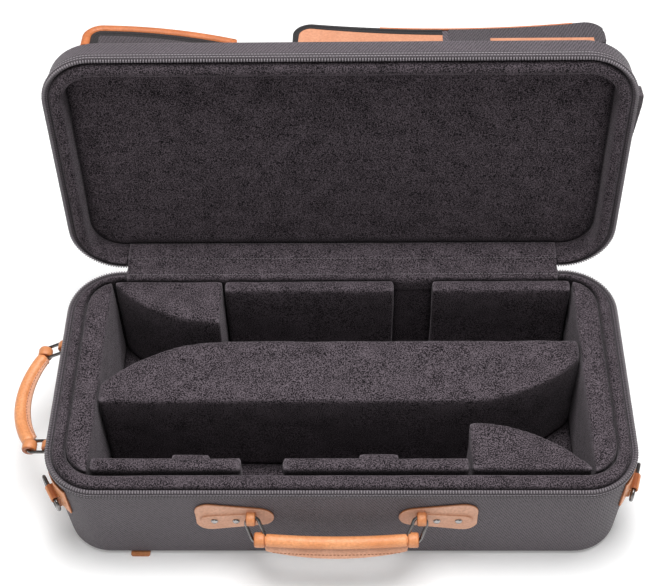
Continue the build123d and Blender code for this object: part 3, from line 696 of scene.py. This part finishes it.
# The main zip: a coil zip whose two tapes are sewn round the rims, with one row of coil teeth
# on each. Both tapes run on down the back wall for a few centimetres below the hinge.
def row_tree():
    """Geometry nodes that set small rounded beads along a path, such as teeth or stitches."""
    tree, given, made = new_group(
        "row_of_beads",
        {"Geometry": "Geometry", "Pitch": "Float", "Bead Size": "Vector", "Material": "Material"},
        {"Geometry": "Geometry"},
        "GeometryNodeTree",
    )
    path = new_node(tree, "GeometryNodeMeshToCurve", {"Mesh": given.outputs["Geometry"]})
    upright = new_node(
        tree, "GeometryNodeSetCurveNormal", {"Curve": path.outputs["Curve"]}, mode="Z_UP"
    )
    values = {"Curve": upright.outputs["Curve"], "Length": given.outputs["Pitch"]}
    spots = new_node(tree, "GeometryNodeCurveToPoints", values, mode="LENGTH")
    bead = new_node(tree, "GeometryNodeMeshUVSphere", {"Segments": 8, "Rings": 5, "Radius": 0.5})
    values = {"Geometry": bead.outputs["Mesh"], "Scale": given.outputs["Bead Size"]}
    shape = new_node(tree, "GeometryNodeTransform", values)
    placed = new_node(tree, "GeometryNodeInstanceOnPoints", {
        "Points": spots.outputs["Points"],
        "Rotation": spots.outputs["Rotation"],
        "Instance": shape.outputs["Geometry"],
    })
    real = new_node(tree, "GeometryNodeRealizeInstances", {"Geometry": placed.outputs["Instances"]})
    values = {"Geometry": real.outputs["Geometry"], "Material": given.outputs["Material"]}
    painted = new_node(tree, "GeometryNodeSetMaterial", values)
    fill_inputs(tree, made, {"Geometry": painted.outputs["Geometry"]})
    return tree


row_of_beads = row_tree()
bead_sockets = {
    socket.name: socket.identifier
    for socket in row_of_beads.interface.items_tree if socket.in_out == "INPUT"
}


def row_mesh(name, paths, pitch, size, material):
    """Beads along one or more paths: size is across, up and along the path."""
    points = []
    edges = []
    for path in paths:
        first = len(points)
        points += path
        edges += [(first + i, first + i + 1) for i in range(len(path) - 1)]
    line = bpy.data.meshes.new(name)
    line.from_pydata(points, edges, [])
    holder = bpy.data.objects.new(name, line)
    scene.collection.objects.link(holder)
    row = holder.modifiers.new("row", "NODES")
    row.node_group = row_of_beads
    for label, value in (("Pitch", pitch), ("Bead Size", size), ("Material", material)):
        row[bead_sockets[label]] = value
    return finished_mesh(name, holder)


tape_weave = {
    "pitch": 0.0009, "depth": 0.0002, "turn": radians(45), "roughness": 0.75, "sheen": 0.1, "ribs": 0.0
}
tape_cloth = woven_material("zip_tape", (0.022, 0.018, 0.021), (0.085, 0.073, 0.082), **tape_weave)


def plain_finish(name, dark, light, scale=700, roughness=0.6):
    """A nylon or thread finish whose colour and gloss wander a little."""
    material, tree, shader = new_material(name, light)
    wander = noise_node(tree, coordinates(tree, "Object"), scale, 3)
    fill_inputs(tree, shader, {
        "Base Color": mix_colours(tree, wander, dark, light),
        "Roughness": ramp_node(tree, wander, 0, 1, roughness - 0.1, roughness + 0.1),
        "Normal": bumped(tree, wander, 0.0001),
    })
    return material


coil = plain_finish(
    "zip_coil", (0.1, 0.088, 0.098), (0.3, 0.27, 0.29), scale=900, roughness=0.35
)
pale_thread = plain_finish("pale_thread", (0.2, 0.18, 0.195), (0.42, 0.38, 0.41), roughness=0.5)
dark_thread = plain_finish("dark_thread", (0.1, 0.088, 0.098), (0.22, 0.2, 0.215))

tape_width = 0.009
tape_stand = 0.0009
tooth_pitch = 0.0027
zip_runs = rim_runs(zip_reach)


def tape_profile(rim, toward):
    """The tape's section: down the outside of the wall, and folded in over the lip."""
    slope = tan(wall_draft)
    rows = [(0.0026, 0.0005), (0.0010, 0.0011), (-0.0004, 0.0009), (-0.0013, 0.0)]
    rows += [(-0.0014, -0.0012), (-0.0010, -0.0023), (-0.0001, -0.0028), (-0.0001, -0.0035)]
    rows += [(-tape_stand + d * slope, -d) for d in (0.0041, 0.006, tape_width - 0.0004)]
    rows += [(-0.0001 + tape_width * slope, -tape_width)]
    rows += [(-0.0002 + d * slope, -d) for d in (0.006, 0.003)] + [(0.0, 0.0002), (0.0026, 0.0001)]
    return [(inset, rim + toward * height) for inset, height in rows]


def straight_zip(name, place, length, width, body):
    """A straight length of shut zip: its tape and its coil, in a frame with y along the zip."""
    half_section = [(-1, 0.0001), (-1, 0.0007), (-0.96, 0.001)]
    section = half_section + [(-x, z) for x, z in reversed(half_section)]
    rings = [
        [place @ Vector((x * width / 2, share * length, z)) for x, z in section]
        for share in (-0.5, 0.5)
    ]
    tape = lofted(name + "_tape", rings, True, False)
    coil_height = 0.0018
    coil_line = [place @ Vector((0, length * (i / 30 - 0.5), coil_height)) for i in range(31)]
    teeth = row_mesh(name + "_coil", [coil_line], 0.0018, (0.0044, 0.0024, 0.0015), coil)
    new_piece(name + "_tape", tape, tape_cloth, body)
    new_piece(name + "_coil", teeth, coil, body, wholly_smooth)


# Depth below the rim and stand off the wall of the two rows of stitches
tape_stitches = ((0.0012, 0.0015), (0.0061, tape_stand - tan(wall_draft) * 0.006))
for half, rim, toward in (("base", base_rim, 1), ("lid", lid_rim, -1)):
    name = f"{half}_zip"
    tape = lofted(name + "_tape", rim_rings(tape_profile(rim, toward), zip_runs), False, True)
    teeth = row_mesh(
        name + "_teeth", [rim_path(0.0007, rim + toward * 0.0019, zip_runs)], tooth_pitch,
        (0.0038, 0.0030, 0.0017), coil,
    )
    sewn = row_mesh(
        name + "_sewing",
        [rim_path(-stand, rim - toward * down, zip_runs) for down, stand in tape_stitches],
        0.0030, (0.0007, 0.0008, 0.0026), pale_thread,
    )
    new_piece(name + "_tape", swung(tape, half), tape_cloth, half, node=name + "_chain")
    new_piece(name + "_teeth", swung(teeth, half), coil, half, wholly_smooth)
    new_piece(name + "_sewing", swung(sewn, half), pale_thread, half, wholly_smooth)


# Hinge: a strip of the plush inside and a strip of nylon outside, each sewn to both halves
# along two rows. They are all that joins the halves, and on the case they bend when the lid is
# shut; here they are drawn as they lie with the lid open, riding on neither half.
# A strip follows a path of (y, z) places, and its rows are distances along that path.
hinge_reach = zip_end - 0.0003
strip_step = 0.0012


def rounded_path(points):
    """Points at even steps along a smooth line through the given (y, z) places, and its length."""
    knots = [Vector(point) for point in points]
    dense = []
    ends = [2 * knots[0] - knots[1]] + knots + [2 * knots[-1] - knots[-2]]
    for a, b, c, d in zip(ends, ends[1:], ends[2:], ends[3:]):
        for i in range(24):
            t = i / 24
            dense.append(
                0.5 * (2 * b + (c - a) * t + (2 * a - 5 * b + 4 * c - d) * t**2
                       + (3 * b - 3 * c + d - a) * t**3)
            )
    dense.append(knots[-1])
    walked = np.cumsum([0.0] + [(b - a).length for a, b in zip(dense, dense[1:])])
    length = float(walked[-1])
    wanted = np.linspace(0, length, round(length / strip_step) + 1)
    ys, zs = [np.interp(wanted, walked, [point[axis] for point in dense]) for axis in (0, 1)]
    return [Vector(place) for place in zip(ys, zs)], length


def path_normals(points):
    """Unit directions to the left of a path, one for each of its points."""
    found = []
    for before, after in zip([points[0], *points], [*points[1:], points[-1]]):
        along = Vector(after) - Vector(before)
        found.append(Vector((-along.y, along.x)).normalized())
    return found


def strip_mesh(name, points, thickness, ripple, sewn):
    """A strip of cloth across the back, pressed down at its sewn rows, with its length."""
    path, length = rounded_path(points)
    normals = path_normals(path)
    columns = 115
    press_depth = 0.0004
    press_reach = 0.002
    rings = []
    for column in range(columns):
        x = hinge_reach * (2 * column / (columns - 1) - 1)
        upper = []
        lower = []
        for i, (spot, normal) in enumerate(zip(path, normals)):
            travelled = length * i / (len(path) - 1)
            nearness = [max(0, 1 - ((travelled - row) / press_reach) ** 2) for row in sewn]
            wave = ripple * noise.noise(Vector((x * 45, travelled * 60, 3)))
            wave *= sin(pi * min(1, travelled / length))
            base = spot + normal * (wave - press_depth * sum(nearness))
            upper.append(Vector((x, *(base + normal * thickness / 2))))
            lower.append(Vector((x, *(base - normal * thickness / 2))))
        rings.append(upper + lower[::-1])
    return lofted(name, rings, True, False), length


def sewing_lines(points, places, lift):
    """Paths across the strip above its sewn rows, as points in the frame."""
    path, length = rounded_path(points)
    normals = path_normals(path)
    lines = []
    for place in places:
        i = round(place / length * (len(path) - 1))
        spot = path[i] + normals[i] * lift
        lines.append([Vector((x * hinge_reach, *spot)) for x in (-0.995, 0.995)])
    return lines


lining_path = [
    (0.1259, 0.1100), (0.1259, 0.1160), (0.1260, 0.1215), (0.1283, 0.1264), (0.1335, 0.1281),
    (0.1390, 0.1277), (0.1440, 0.1277), (0.1490, 0.1294), (0.1530, 0.1320), (0.1600, 0.1319),
    (0.1665, 0.1312), (0.1725, 0.1307),
]
cover_path = [
    (0.1680, 0.1199), (0.1580, 0.1204), (0.1495, 0.1205), (0.1430, 0.1200), (0.1392, 0.1182),
    (0.1374, 0.1140), (0.1366, 0.1080), (0.1359, 0.0988),
]
lining_rows = (0.0205, 0.0405)
cover_rows = (0.003, 0.0475)


def hinge_strip(name, points, thickness, ripple, rows, material, node):
    """A strip stretched over the gap between its sewn ends, drawn as it lies with the lid open."""
    mesh, length = strip_mesh(name, points, thickness, ripple, rows)
    strip = new_piece(name, mesh, material, None, wholly_smooth, node)
    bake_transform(strip)


hinge_strip(
    "hinge_plush_strip", lining_path, 0.0014, 0.0007, lining_rows, plush, "hinge_lining",
)
lining_sewing_mesh = row_mesh(
    "hinge_sewing", sewing_lines(lining_path, lining_rows, 0.0005), 0.0034,
    (0.0006, 0.0005, 0.0026), dark_thread,
)
lining_sewing = new_piece(
    "hinge_sewing", lining_sewing_mesh, dark_thread, None, wholly_smooth
)
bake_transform(lining_sewing)
hinge_strip(
    "hinge_nylon_strip", cover_path, 0.0012, 0.0003, cover_rows, nylon, "hinge_cover",
)


# Leather: vegetable tanned cowhide in a warm tan. The patches and tabs are cut from flat hide
# and have paler faces; the grips are rolled from a glossier strip and burnished at the edges.
def leather_material(name, face, edge, light, roughness):
    """Hide with a fine grain and wandering colour, darker where an edge was burnished."""
    material, tree, shader = new_material(name, face)
    place = coordinates(tree, "Object")
    cloudy = noise_node(tree, place, 45, 3)
    pores = new_node(tree, "ShaderNodeTexVoronoi", {"Vector": place, "Scale": 1100}).outputs["Distance"]
    grain = noise_node(tree, place, 420, 3, 0.6)
    toned = mix_colours(tree, ramp_node(tree, cloudy, 0.3, 0.7), face, light)
    spots = tuple(part * 0.72 for part in face)
    spotted = mix_colours(tree, ramp_node(tree, grain, 0.35, 0.9), toned, spots)
    rim = new_node(tree, "ShaderNodeAttribute", {}, attribute_name="edge").outputs["Fac"]
    height = add_weighted(tree, pores, grain, 0.6)
    fill_inputs(tree, shader, {
        "Base Color": mix_colours(tree, rim, spotted, edge),
        "Roughness": roughness,
        "Specular IOR Level": 0.4,
        "Coat Weight": 0.12,
        "Coat Roughness": 0.4,
        "Normal": bumped(tree, height, 0.00025),
    })
    return material


pale_leather = leather_material(
    "pale_leather", (0.62, 0.31, 0.19), (0.4, 0.13, 0.04), (0.72, 0.4, 0.27), 0.55
)
tan_leather = leather_material(
    "tan_leather", (0.72, 0.27, 0.1), (0.36, 0.1, 0.025), (0.85, 0.38, 0.17), 0.4
)
binding_leather = leather_material(
    "binding_leather", (0.45, 0.13, 0.04), (0.26, 0.065, 0.016), (0.54, 0.172, 0.06), 0.45
)
facing_leather = leather_material(
    "facing_leather", (0.5, 0.21, 0.115), (0.36, 0.12, 0.04), (0.58, 0.27, 0.16), 0.55
)
leather_thread = plain_finish("leather_thread", (0.18, 0.06, 0.02), (0.3, 0.12, 0.05))


def wall_frame(normal, along, offset, height):
    """A frame on the drafted outside of the base: x along the wall, y up, z outward."""
    half = abs(normal[0]) * half_length + abs(normal[1]) * half_depth
    half -= (base_rim - height) * tan(wall_draft)
    out = Vector((normal[0] * cos(wall_draft), normal[1] * cos(wall_draft), -sin(wall_draft)))
    across = Vector((*along, 0))
    up = out.cross(across)
    origin = Vector((normal[0] * half + along[0] * offset, normal[1] * half + along[1] * offset, height))
    return frame_at(origin, across, up, out)


front_wall = wall_frame((0, -1), (1, 0), -0.004, 0.082)
left_wall = wall_frame((-1, 0), (0, -1), 0.0, 0.086)


def store_edges(mesh, values):
    """Stores how far each point belongs to a burnished edge, from 0 to 1."""
    mesh.attributes.new("edge", "FLOAT", "POINT").data.foreach_set("value", values)


def hide_piece(node, name, material, cell, toward):
    """A leather piece with softened edges, in place of a solid, burnished where it turns away."""
    full_edge = 0.35
    no_edge = 0.8
    mesh = soft_block(node, name, cell, rounding=3, unevenness=0.00012, rise=0.0)
    facing = [abs(vertex.normal.dot(toward(vertex.co))) for vertex in mesh.vertices]
    shares = [(no_edge - f) / (no_edge - full_edge) for f in facing]
    store_edges(mesh, [min(1.0, max(0.0, share)) for share in shares])
    new_piece(name, mesh, material, "base", wholly_smooth, node)


def toward_wall(wall):
    """The direction out of a wall, whatever the place."""
    out = wall.to_3x3().col[2].normalized()
    return lambda place: out


hide_cell = 0.0009
small_hide_cell = 0.0008
for node, name, wall in (
    ("front_patch_left", "left_front_patch", front_wall),
    ("front_patch_right", "right_front_patch", front_wall),
    ("side_patch_back", "back_side_patch", left_wall),
    ("side_patch_front", "front_side_patch", left_wall),
):
    hide_piece(node, name, pale_leather, hide_cell, toward_wall(wall))


def corner_out(side):
    """The direction out of a rounded front corner at a place."""
    def direction(place):
        return Vector((place.x - side * straight_x, place.y + straight_y, 0)).normalized()
    return direction


for node, name, side in (
    ("corner_tab_left", "left_corner_leather", -1), ("corner_tab_right", "right_corner_leather", 1)
):
    hide_piece(node, name, tan_leather, hide_cell, corner_out(side))
hide_piece(
    "edge_tab", "under_edge_leather", tan_leather, small_hide_cell, lambda place: Vector((0, 0, 1))
)


# The grips: a strip of hide rolled round a cord and sewn along one side of the roll, where the
# two edges of the strip lie face to face. A loop at each end holds the wire link.
loop_rise = 0.008
loop_stand_off = 0.008


def droop_frame(wall, droop):
    """The frame that a handle hangs in: x along the wall, y outward and down."""
    pivot = wall @ Vector((0, loop_rise, loop_stand_off))
    out = wall.to_3x3().col[2]
    level = Vector((out.x, out.y, 0)).normalized()
    fall = level * cos(droop) - Vector((0, 0, 1)) * sin(droop)
    across = wall.to_3x3().col[0].normalized()
    return frame_at(pivot, across, fall, across.cross(fall))


front_droop = droop_frame(front_wall, radians(55))
side_droop = droop_frame(left_wall, radians(18))
grip_end_share = 0.93
edge_half_thick = 0.0017


def bowed(half, reach, bow, share):
    """A point on the arc through the grip's ends and its middle."""
    radius = (half * half + bow * bow) / (2 * bow)
    x = half * share
    return x, reach + bow - radius + (radius * radius - x * x) ** 0.5


def grip_sewing(name, handle_frame, half, reach, bow, away):
    """Stitches on both faces of a grip's sewn edge, near its outer edge."""
    lines = []
    for height in (-0.0018, 0.0018):
        places = [bowed(half, reach, bow, (2 * i / 40 - 1) * grip_end_share) for i in range(41)]
        lines.append([handle_frame @ Vector((x, y + away, height)) for x, y in places])
    return row_mesh(name, lines, 0.0036, (0.0008, 0.0007, 0.0026), leather_thread)


def grip_meshes(name, handle_frame, half, reach, bow, radius, away, depth):
    """The roll and its sewn edge: away is 1 where the edge hangs outward, -1 where it is inside."""
    roll = []
    flange = []
    steps = 60
    sides = 24
    for i in range(steps + 1):
        share = 2 * i / steps - 1
        centre = Vector((*bowed(half, reach, bow, share), 0))
        along = (Vector((*bowed(half, reach, bow, share + 0.01), 0)) - centre).normalized()
        out = Vector((-along.y, along.x, 0)) * away
        ending = max(0.0, (abs(share) - grip_end_share) / (1 - grip_end_share))
        thick = radius * (1 - 0.3 * ending**3)
        ring = []
        for turn in range(sides):
            angle = 2 * pi * turn / sides
            crease = 0.0006 * max(0.0, cos(angle)) ** 6
            height = Vector((0, 0, sin(angle) * thick))
            ring.append(handle_frame @ (centre + out * cos(angle) * (thick - crease) + height))
        roll.append(ring)
        swell = 1.14 - 0.62 * share**2
        hem = radius * 0.6 + (depth * swell + radius * 0.4) * (1 - ending**4) ** 0.5 + 0.0001
        rows = ((radius * 0.4, 1), (hem - 0.0008, 1), (hem, 0.5))
        rows = [(reach_out, -side) for reach_out, side in rows] + [*reversed(rows)]
        flange.append([
            handle_frame @ (centre + out * reach_out + Vector((0, 0, side * edge_half_thick)))
            for reach_out, side in rows
        ])
    return lofted(name, roll, True, False), lofted(name + "_edge", flange, True, False)


def eyelet(name, place, body, node=None, *, width, bore, outer):
    """A loop of hide round a wire, in a frame whose x direction is the loop's axis."""
    half_section = ((bore, 0.8), (bore + 0.0005, 1), (outer - 0.0008, 1), (outer, 0.7))
    section = [(radius, -share * width / 2) for radius, share in half_section]
    section += [(radius, share * width / 2) for radius, share in reversed(half_section)]
    sides = 28
    rings = []
    for turn in range(sides):
        angle = 2 * pi * turn / sides
        rings.append([place @ Vector((x, r * cos(angle), r * sin(angle))) for r, x in section])
    mesh = lofted(name, rings, True, True)
    across = place.to_3x3().col[0].normalized()
    store_edges(mesh, [min(1.0, abs(v.normal.dot(across)) * 1.2) for v in mesh.vertices])
    new_piece(name, mesh, tan_leather, body, 60, node)


# Both handles have: half the sewn edge, half the way between the loops, the reach of the links,
# the grip's bow and radius, the side that its edge is on and how deep that edge is
for node, name, body, handle_frame, half, far, reach, bow, radius, away, depth in (
    ("front_grip", "front_rolled_grip", "front_handle", front_droop, 0.065, 0.074, 0.022, 0.003,
     0.0062, 1, 0.009),
    ("side_grip", "side_rolled_grip", "side_handle", side_droop, 0.049, 0.058, 0.022, 0.018,
     0.0070, -1, 0.0032),
):
    roll_half = half + 0.0046
    roll_mesh, edge_mesh = grip_meshes(
        name, handle_frame, roll_half, reach, bow, radius, away, depth
    )
    new_piece(name, roll_mesh, tan_leather, body, node=node)
    new_piece(name + "_edge", edge_mesh, pale_leather, body)
    stitch_reach = away * (radius + depth - 0.003)
    sewing = grip_sewing(name + "_sewing", handle_frame, half, reach, bow, stitch_reach)
    new_piece(name + "_sewing", sewing, leather_thread, body, wholly_smooth)
    for side, end in ((-1, "first"), (1, "second")):
        spot = handle_frame @ Matrix.Translation((side * far, reach, 0))
        loops_node = node + "_loops" if side > 0 else None
        eyelet(
            f"{name}_{end}_loop", spot, body, loops_node, width=0.0104, bore=0.0030, outer=0.0074
        )
for name, wall, reach in (("front_patch", front_wall, 0.082), ("side_patch", left_wall, 0.062)):
    for side, end in ((-1, "first"), (1, "second")):
        spot = wall @ Matrix.Translation((side * reach, loop_rise, loop_stand_off))
        eyelet(f"{name}_{end}_loop", spot, "base", width=0.0090, bore=0.0034, outer=0.0068)


# Metal: nickel plated wire bent into links and rings, the rivets' heads, and the sliders of
# the zips with their pulls. Their gloss is dulled in smears by handling.
def nickel_material(name, dark, light):
    """Plated metal whose gloss is broken by handling."""
    material, tree, shader = new_material(name, (0.62, 0.6, 0.58))
    place = coordinates(tree, "Object")
    smear = noise_node(tree, place, 160, 4)
    fill_inputs(tree, shader, {
        "Base Color": mix_colours(tree, smear, dark, light),
        "Metallic": 1.0,
        "Roughness": add_weighted(tree, 0.12, smear, 0.22),
        "Normal": bumped(tree, noise_node(tree, place, 900, 2), 0.00005),
    })
    return material


nickel = nickel_material("nickel", (0.2, 0.195, 0.19), (0.5, 0.48, 0.47))
# The wire's nickel is a darker copy of the same plating: painted dark reflection, standing in for dark
# surroundings mirrored in the wire.
wire_nickel_painted_dark = nickel_material("wire_nickel_painted_dark", (0.06, 0.056, 0.055), (0.3, 0.285, 0.28))


def smooth_copy(node, name, body, material):
    """A copy of a metal solid with its points merged, so that its curves shade smoothly."""
    mesh = bpy.data.meshes.new(name)
    fill_merged(mesh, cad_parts[node].data)
    new_piece(name, mesh, material, body, node=node)


for side, end in (("left", "back"), ("right", "front")):
    for node, name, body, material in (
        (f"front_link_{side}", f"{side}_front_wire", "front_links", wire_nickel_painted_dark),
        (f"side_link_{end}", f"{end}_side_wire", "side_links", wire_nickel_painted_dark),
        (f"corner_ring_{side}", f"{side}_strap_ring", f"corner_ring_{side}", wire_nickel_painted_dark),
        (f"zip_{side}_slider", f"{side}_zip_slider", f"zip_slider_{side}", nickel),
        (f"zip_{side}_pull", f"{side}_zip_pull", f"zip_pull_{side}", nickel),
        (f"pocket_{side}_zip_slider", f"{side}_pocket_slider", f"pocket_slider_{side}", nickel),
        (f"pocket_{side}_zip_pull", f"{side}_pocket_pull", f"pocket_pull_{side}", nickel),
    ):
        smooth_copy(node, name, body, material)
for handle in ("front", "side"):
    smooth_copy(f"{handle}_rivets", f"{handle}_rivet_heads", "base", nickel)

# The two ends of the rim zip, each a straight zip down the back wall with a slider on it
tail_x = 0.234
tail_middle = 0.0935
for side, name in ((-1, "left"), (1, "right")):
    tail_frame = wall_frame((0, 1), (-1, 0), -side * tail_x, tail_middle)
    straight_zip(f"{name}_zip_tail", tail_frame, 0.046, 0.010, "base")


# Pockets on the outside of the lid: nylon pouches that bulge where their gussets hold them
# open. Their zip sides are edged with hide, and the zips run round the edge and down one side.
pocket_nylon = woven_material("pocket_nylon", (0.014, 0.011, 0.0135), (0.078, 0.064, 0.075))
pocket_tape = woven_material(
    "pocket_tape", (0.004, 0.0034, 0.004), (0.022, 0.019, 0.021), **tape_weave
)

pocket_front = -0.131
pocket_back = 0.108
pocket_swell = 0.028
pocket_shoulder = 0.018
pocket_side = 0.010
pocket_foot = -0.0045


def arc_points(a, b, c, count):
    """Points on the circle through three places, from the first to the last."""
    ax, ay, bx, by, cx, cy = *a, *b, *c
    d = 2 * (ax * (by - cy) + bx * (cy - ay) + cx * (ay - by))
    sa, sb, sc = ax * ax + ay * ay, bx * bx + by * by, cx * cx + cy * cy
    ux = (sa * (by - cy) + sb * (cy - ay) + sc * (ay - by)) / d
    uy = (sa * (cx - bx) + sb * (ax - cx) + sc * (bx - ax)) / d
    start = atan2(ay - uy, ax - ux)
    end = atan2(cy - uy, cx - ux)
    radius = hypot(ax - ux, ay - uy)
    turns = [start + (end - start) * i / count for i in range(count + 1)]
    return [(ux + radius * cos(turn), uy + radius * sin(turn)) for turn in turns]


def pocket_outline(ends, middle, far_height):
    """The pocket's edge seen from its zip side, from its left foot to its right one."""
    left, right = ends
    share = far_height / pocket_swell
    reach = pocket_shoulder * share
    far = right - reach
    foot = pocket_side * share
    points = [(left, pocket_foot + (pocket_side - pocket_foot) * i / 6) for i in range(6)]
    for i in range(12):
        turn = pi / 2 * i / 12
        points.append((
            left + pocket_shoulder * (1 - cos(turn)), pocket_side + pocket_shoulder * sin(turn)
        ))
    points += arc_points(
        (left + pocket_shoulder, pocket_swell), ((left + right) / 2, middle), (far, far_height), 44
    )
    for i in range(1, 8):
        turn = pi / 2 * (1 - i / 7)
        points.append((far + reach * cos(turn), foot + reach * sin(turn)))
    return points + [(right, foot - (foot - pocket_foot) * i / 4) for i in range(1, 5)]


def on_lid(x, y, height):
    """A place over the shut lid's top, swung open with it."""
    return lid_open @ Vector((x, y, lid_top + height))


def moved_in(points, depth):
    """The pocket's edge moved into its side by a depth, which may vary along the edge."""
    places = []
    for i, (point, outward) in enumerate(zip(points, path_normals(points))):
        here = depth(i / (len(points) - 1)) if callable(depth) else depth
        places.append(Vector(point) - outward * here)
    return places


def edge_band(name, points, rows, material, node):
    """A band along the pocket's edge; rows give depth into the side and stand off from it."""
    rings = []
    for depth, stand in rows:
        rings.append([
            on_lid(spot.x, pocket_front - stand, max(spot.y, pocket_foot))
            for spot in moved_in(points, depth)
        ])
    new_piece(name, lofted(name, rings, False, True), material, "lid", 50, node)


def side_panel(name, points, depth, stand, material, node=None):
    """What lies within the edge bands on the zip side, down to the lid."""
    upper = [(spot.x, max(spot.y, pocket_foot + 0.0002)) for spot in moved_in(points, depth)]
    lower = [(x, pocket_foot) for x, height in upper]
    rings = []
    for line, out in ((upper, 0.0), (upper, stand), (lower, stand), (lower, 0.0)):
        rings.append([on_lid(x, pocket_front - out, height) for x, height in line])
    new_piece(name, lofted(name, rings, False, True), material, "lid", 50, node)


def box_uvs(mesh):
    """UVs in metres, each face mapped along the axis that it faces most."""
    layer = mesh.uv_layers.get("cloth") or mesh.uv_layers.new(name="cloth")
    for face in mesh.polygons:
        facing = max(range(3), key=lambda axis: abs(face.normal[axis]))
        first, second = [axis for axis in range(3) if axis != facing]
        for corner in face.loop_indices:
            place = mesh.vertices[mesh.loops[corner].vertex_index].co
            layer.data[corner].uv = (place[first], place[second])


def pouch_mesh(name, points, ends):
    """The pouch as a closed bag: its edge carried back to the hinge side, slack and creased."""
    corner = 0.012
    lid_clearance = 0.0003
    crease_depth = 0.0016
    middle = (ends[0] + ends[1]) / 2
    rings = []
    steps = 40
    for i in range(steps + 1):
        y = pocket_front + (pocket_back - pocket_front) * i / steps
        into_corner = max(0.0, (y - (pocket_back - corner)) / corner)
        inset = corner * (1 - (1 - into_corner**2) ** 0.5) if into_corner < 1 else corner
        ring = []
        for x, height in points:
            squeezed = middle + (x - middle) * (1 - inset / (ends[1] - ends[0]) * 2)
            sag = 1 - 0.10 * sin(pi * i / steps) ** 2
            crease = noise.noise(Vector((x * 30, y * 22, 5))) * crease_depth * sin(pi * i / steps)
            level = max(lid_clearance, height)
            lifted = level * sag * (1 - 0.45 * into_corner**2) + (crease if level > 0.002 else 0)
            ring.append(on_lid(squeezed, y, max(lid_clearance, lifted)))
        rings.append(ring)
    mesh = lofted(name, rings, True, False)
    box_uvs(mesh)
    return mesh


left_ends = (-0.246, -0.097)
left_edge = pocket_outline(left_ends, 0.0225, 0.0045)
edge_band(
    "left_pocket_binding", left_edge,
    ((0.0, 0.0), (-0.0002, 0.0016), (0.0016, 0.0030), (0.0040, 0.0033), (0.0062, 0.0028),
     (0.0078, 0.0014), (0.0080, 0.0)),
    binding_leather, "pocket_left_leather",
)
edge_band(
    "left_pocket_zip_band", left_edge,
    ((0.0078, 0.0), (0.0080, 0.0010), (0.0113, 0.0012), (0.0117, 0.0006), (0.0121, 0.0012),
     (0.0156, 0.0010), (0.0158, 0.0)),
    pocket_tape, "pocket_left_zip",
)
side_panel("left_pocket_facing", left_edge, 0.0160, 0.0012, pocket_nylon)

right_ends = (-0.044, 0.254)
right_edge = pocket_outline(right_ends, 0.0185, 0.028)
# The zip runs from the left foot to a flap, its garage, that covers the rest of the edge
garage_x = 0.104
zipped_edge = [point for point in right_edge if point[0] <= garage_x]


def zip_depth(near):
    """The zip band's depth, wider toward its garage, at one of its edges."""
    return lambda share: near * (0.0050 + 0.0042 * share)


edge_band(
    "right_pocket_zip_band", zipped_edge,
    ((0.0, 0.0), (0.0, 0.0014), (zip_depth(0.45), 0.0018), (zip_depth(0.5), 0.0008),
     (zip_depth(0.55), 0.0018), (zip_depth(1.0), 0.0014), (zip_depth(1.0), 0.0)),
    pocket_tape, "pocket_right_zip",
)
side_panel(
    "right_pocket_facing", zipped_edge, zip_depth(1.04), 0.0012, facing_leather,
    "pocket_right_leather",
)
panel_edge = [point for point in right_edge if garage_x < point[0] < right_ends[1] - 0.0005]
side_panel("right_pocket_garage", panel_edge, 0.0, 0.0016, pocket_nylon)
strip_edge = [(garage_x + 0.04 + i * 0.0098, 0.0019) for i in range(11)]
side_panel("right_pocket_strip", strip_edge, 0.0, 0.0024, facing_leather)


def piping(name, points, radius, material):
    """A thin round welt along the pocket's edge."""
    rings = []
    for turn in range(10):
        angle = 2 * pi * turn / 10
        stand = 0.001 + radius * sin(angle)
        places = moved_in(points, -radius * cos(angle))
        rings.append([on_lid(spot.x, pocket_front - stand, spot.y) for spot in places])
    new_piece(name, lofted(name, rings, False, True), material, "lid")


welt_edge = [point for point in right_edge if 0.035 < point[0] < 0.225 and point[1] > 0.01]
piping("right_pocket_welt", welt_edge, 0.0011, binding_leather)
for side, ends, edge in (("left", left_ends, left_edge), ("right", right_ends, right_edge)):
    pouch = pouch_mesh(f"{side}_pouch", edge, ends)
    new_piece(f"{side}_pouch", pouch, nylon, "lid", node=f"pocket_{side}")
    length = pocket_back - pocket_front - 0.024
    centre = on_lid(ends[0], (pocket_back + pocket_front) / 2, pocket_side - 0.0035)
    turned = lid_open.to_3x3()
    axes = (turned @ Vector((0, 0, -1)), turned @ Vector((0, 1, 0)), turned @ Vector((-1, 0, 0)))
    straight_zip(f"{side}_pocket_side_zip", frame_at(centre, *axes), length, 0.007, "lid")


# Keeper on the right side of the lid: a folded length of woven webbing, sewn down flat at one
# end and left proud at the other.
webbing = woven_material(
    "webbing", (0.02, 0.016, 0.019), (0.085, 0.072, 0.081), pitch=0.0022, depth=0.0006, turn=0.0,
    roughness=0.7, ribs=0.0,
)
keeper_mesh = soft_block(
    "lid_keeper", "webbing_keeper", cell=0.0008, rounding=3, unevenness=0.0002, rise=0.0
)
box_uvs(keeper_mesh)
new_piece("webbing_keeper", keeper_mesh, webbing, "lid", wholly_smooth, "lid_keeper")
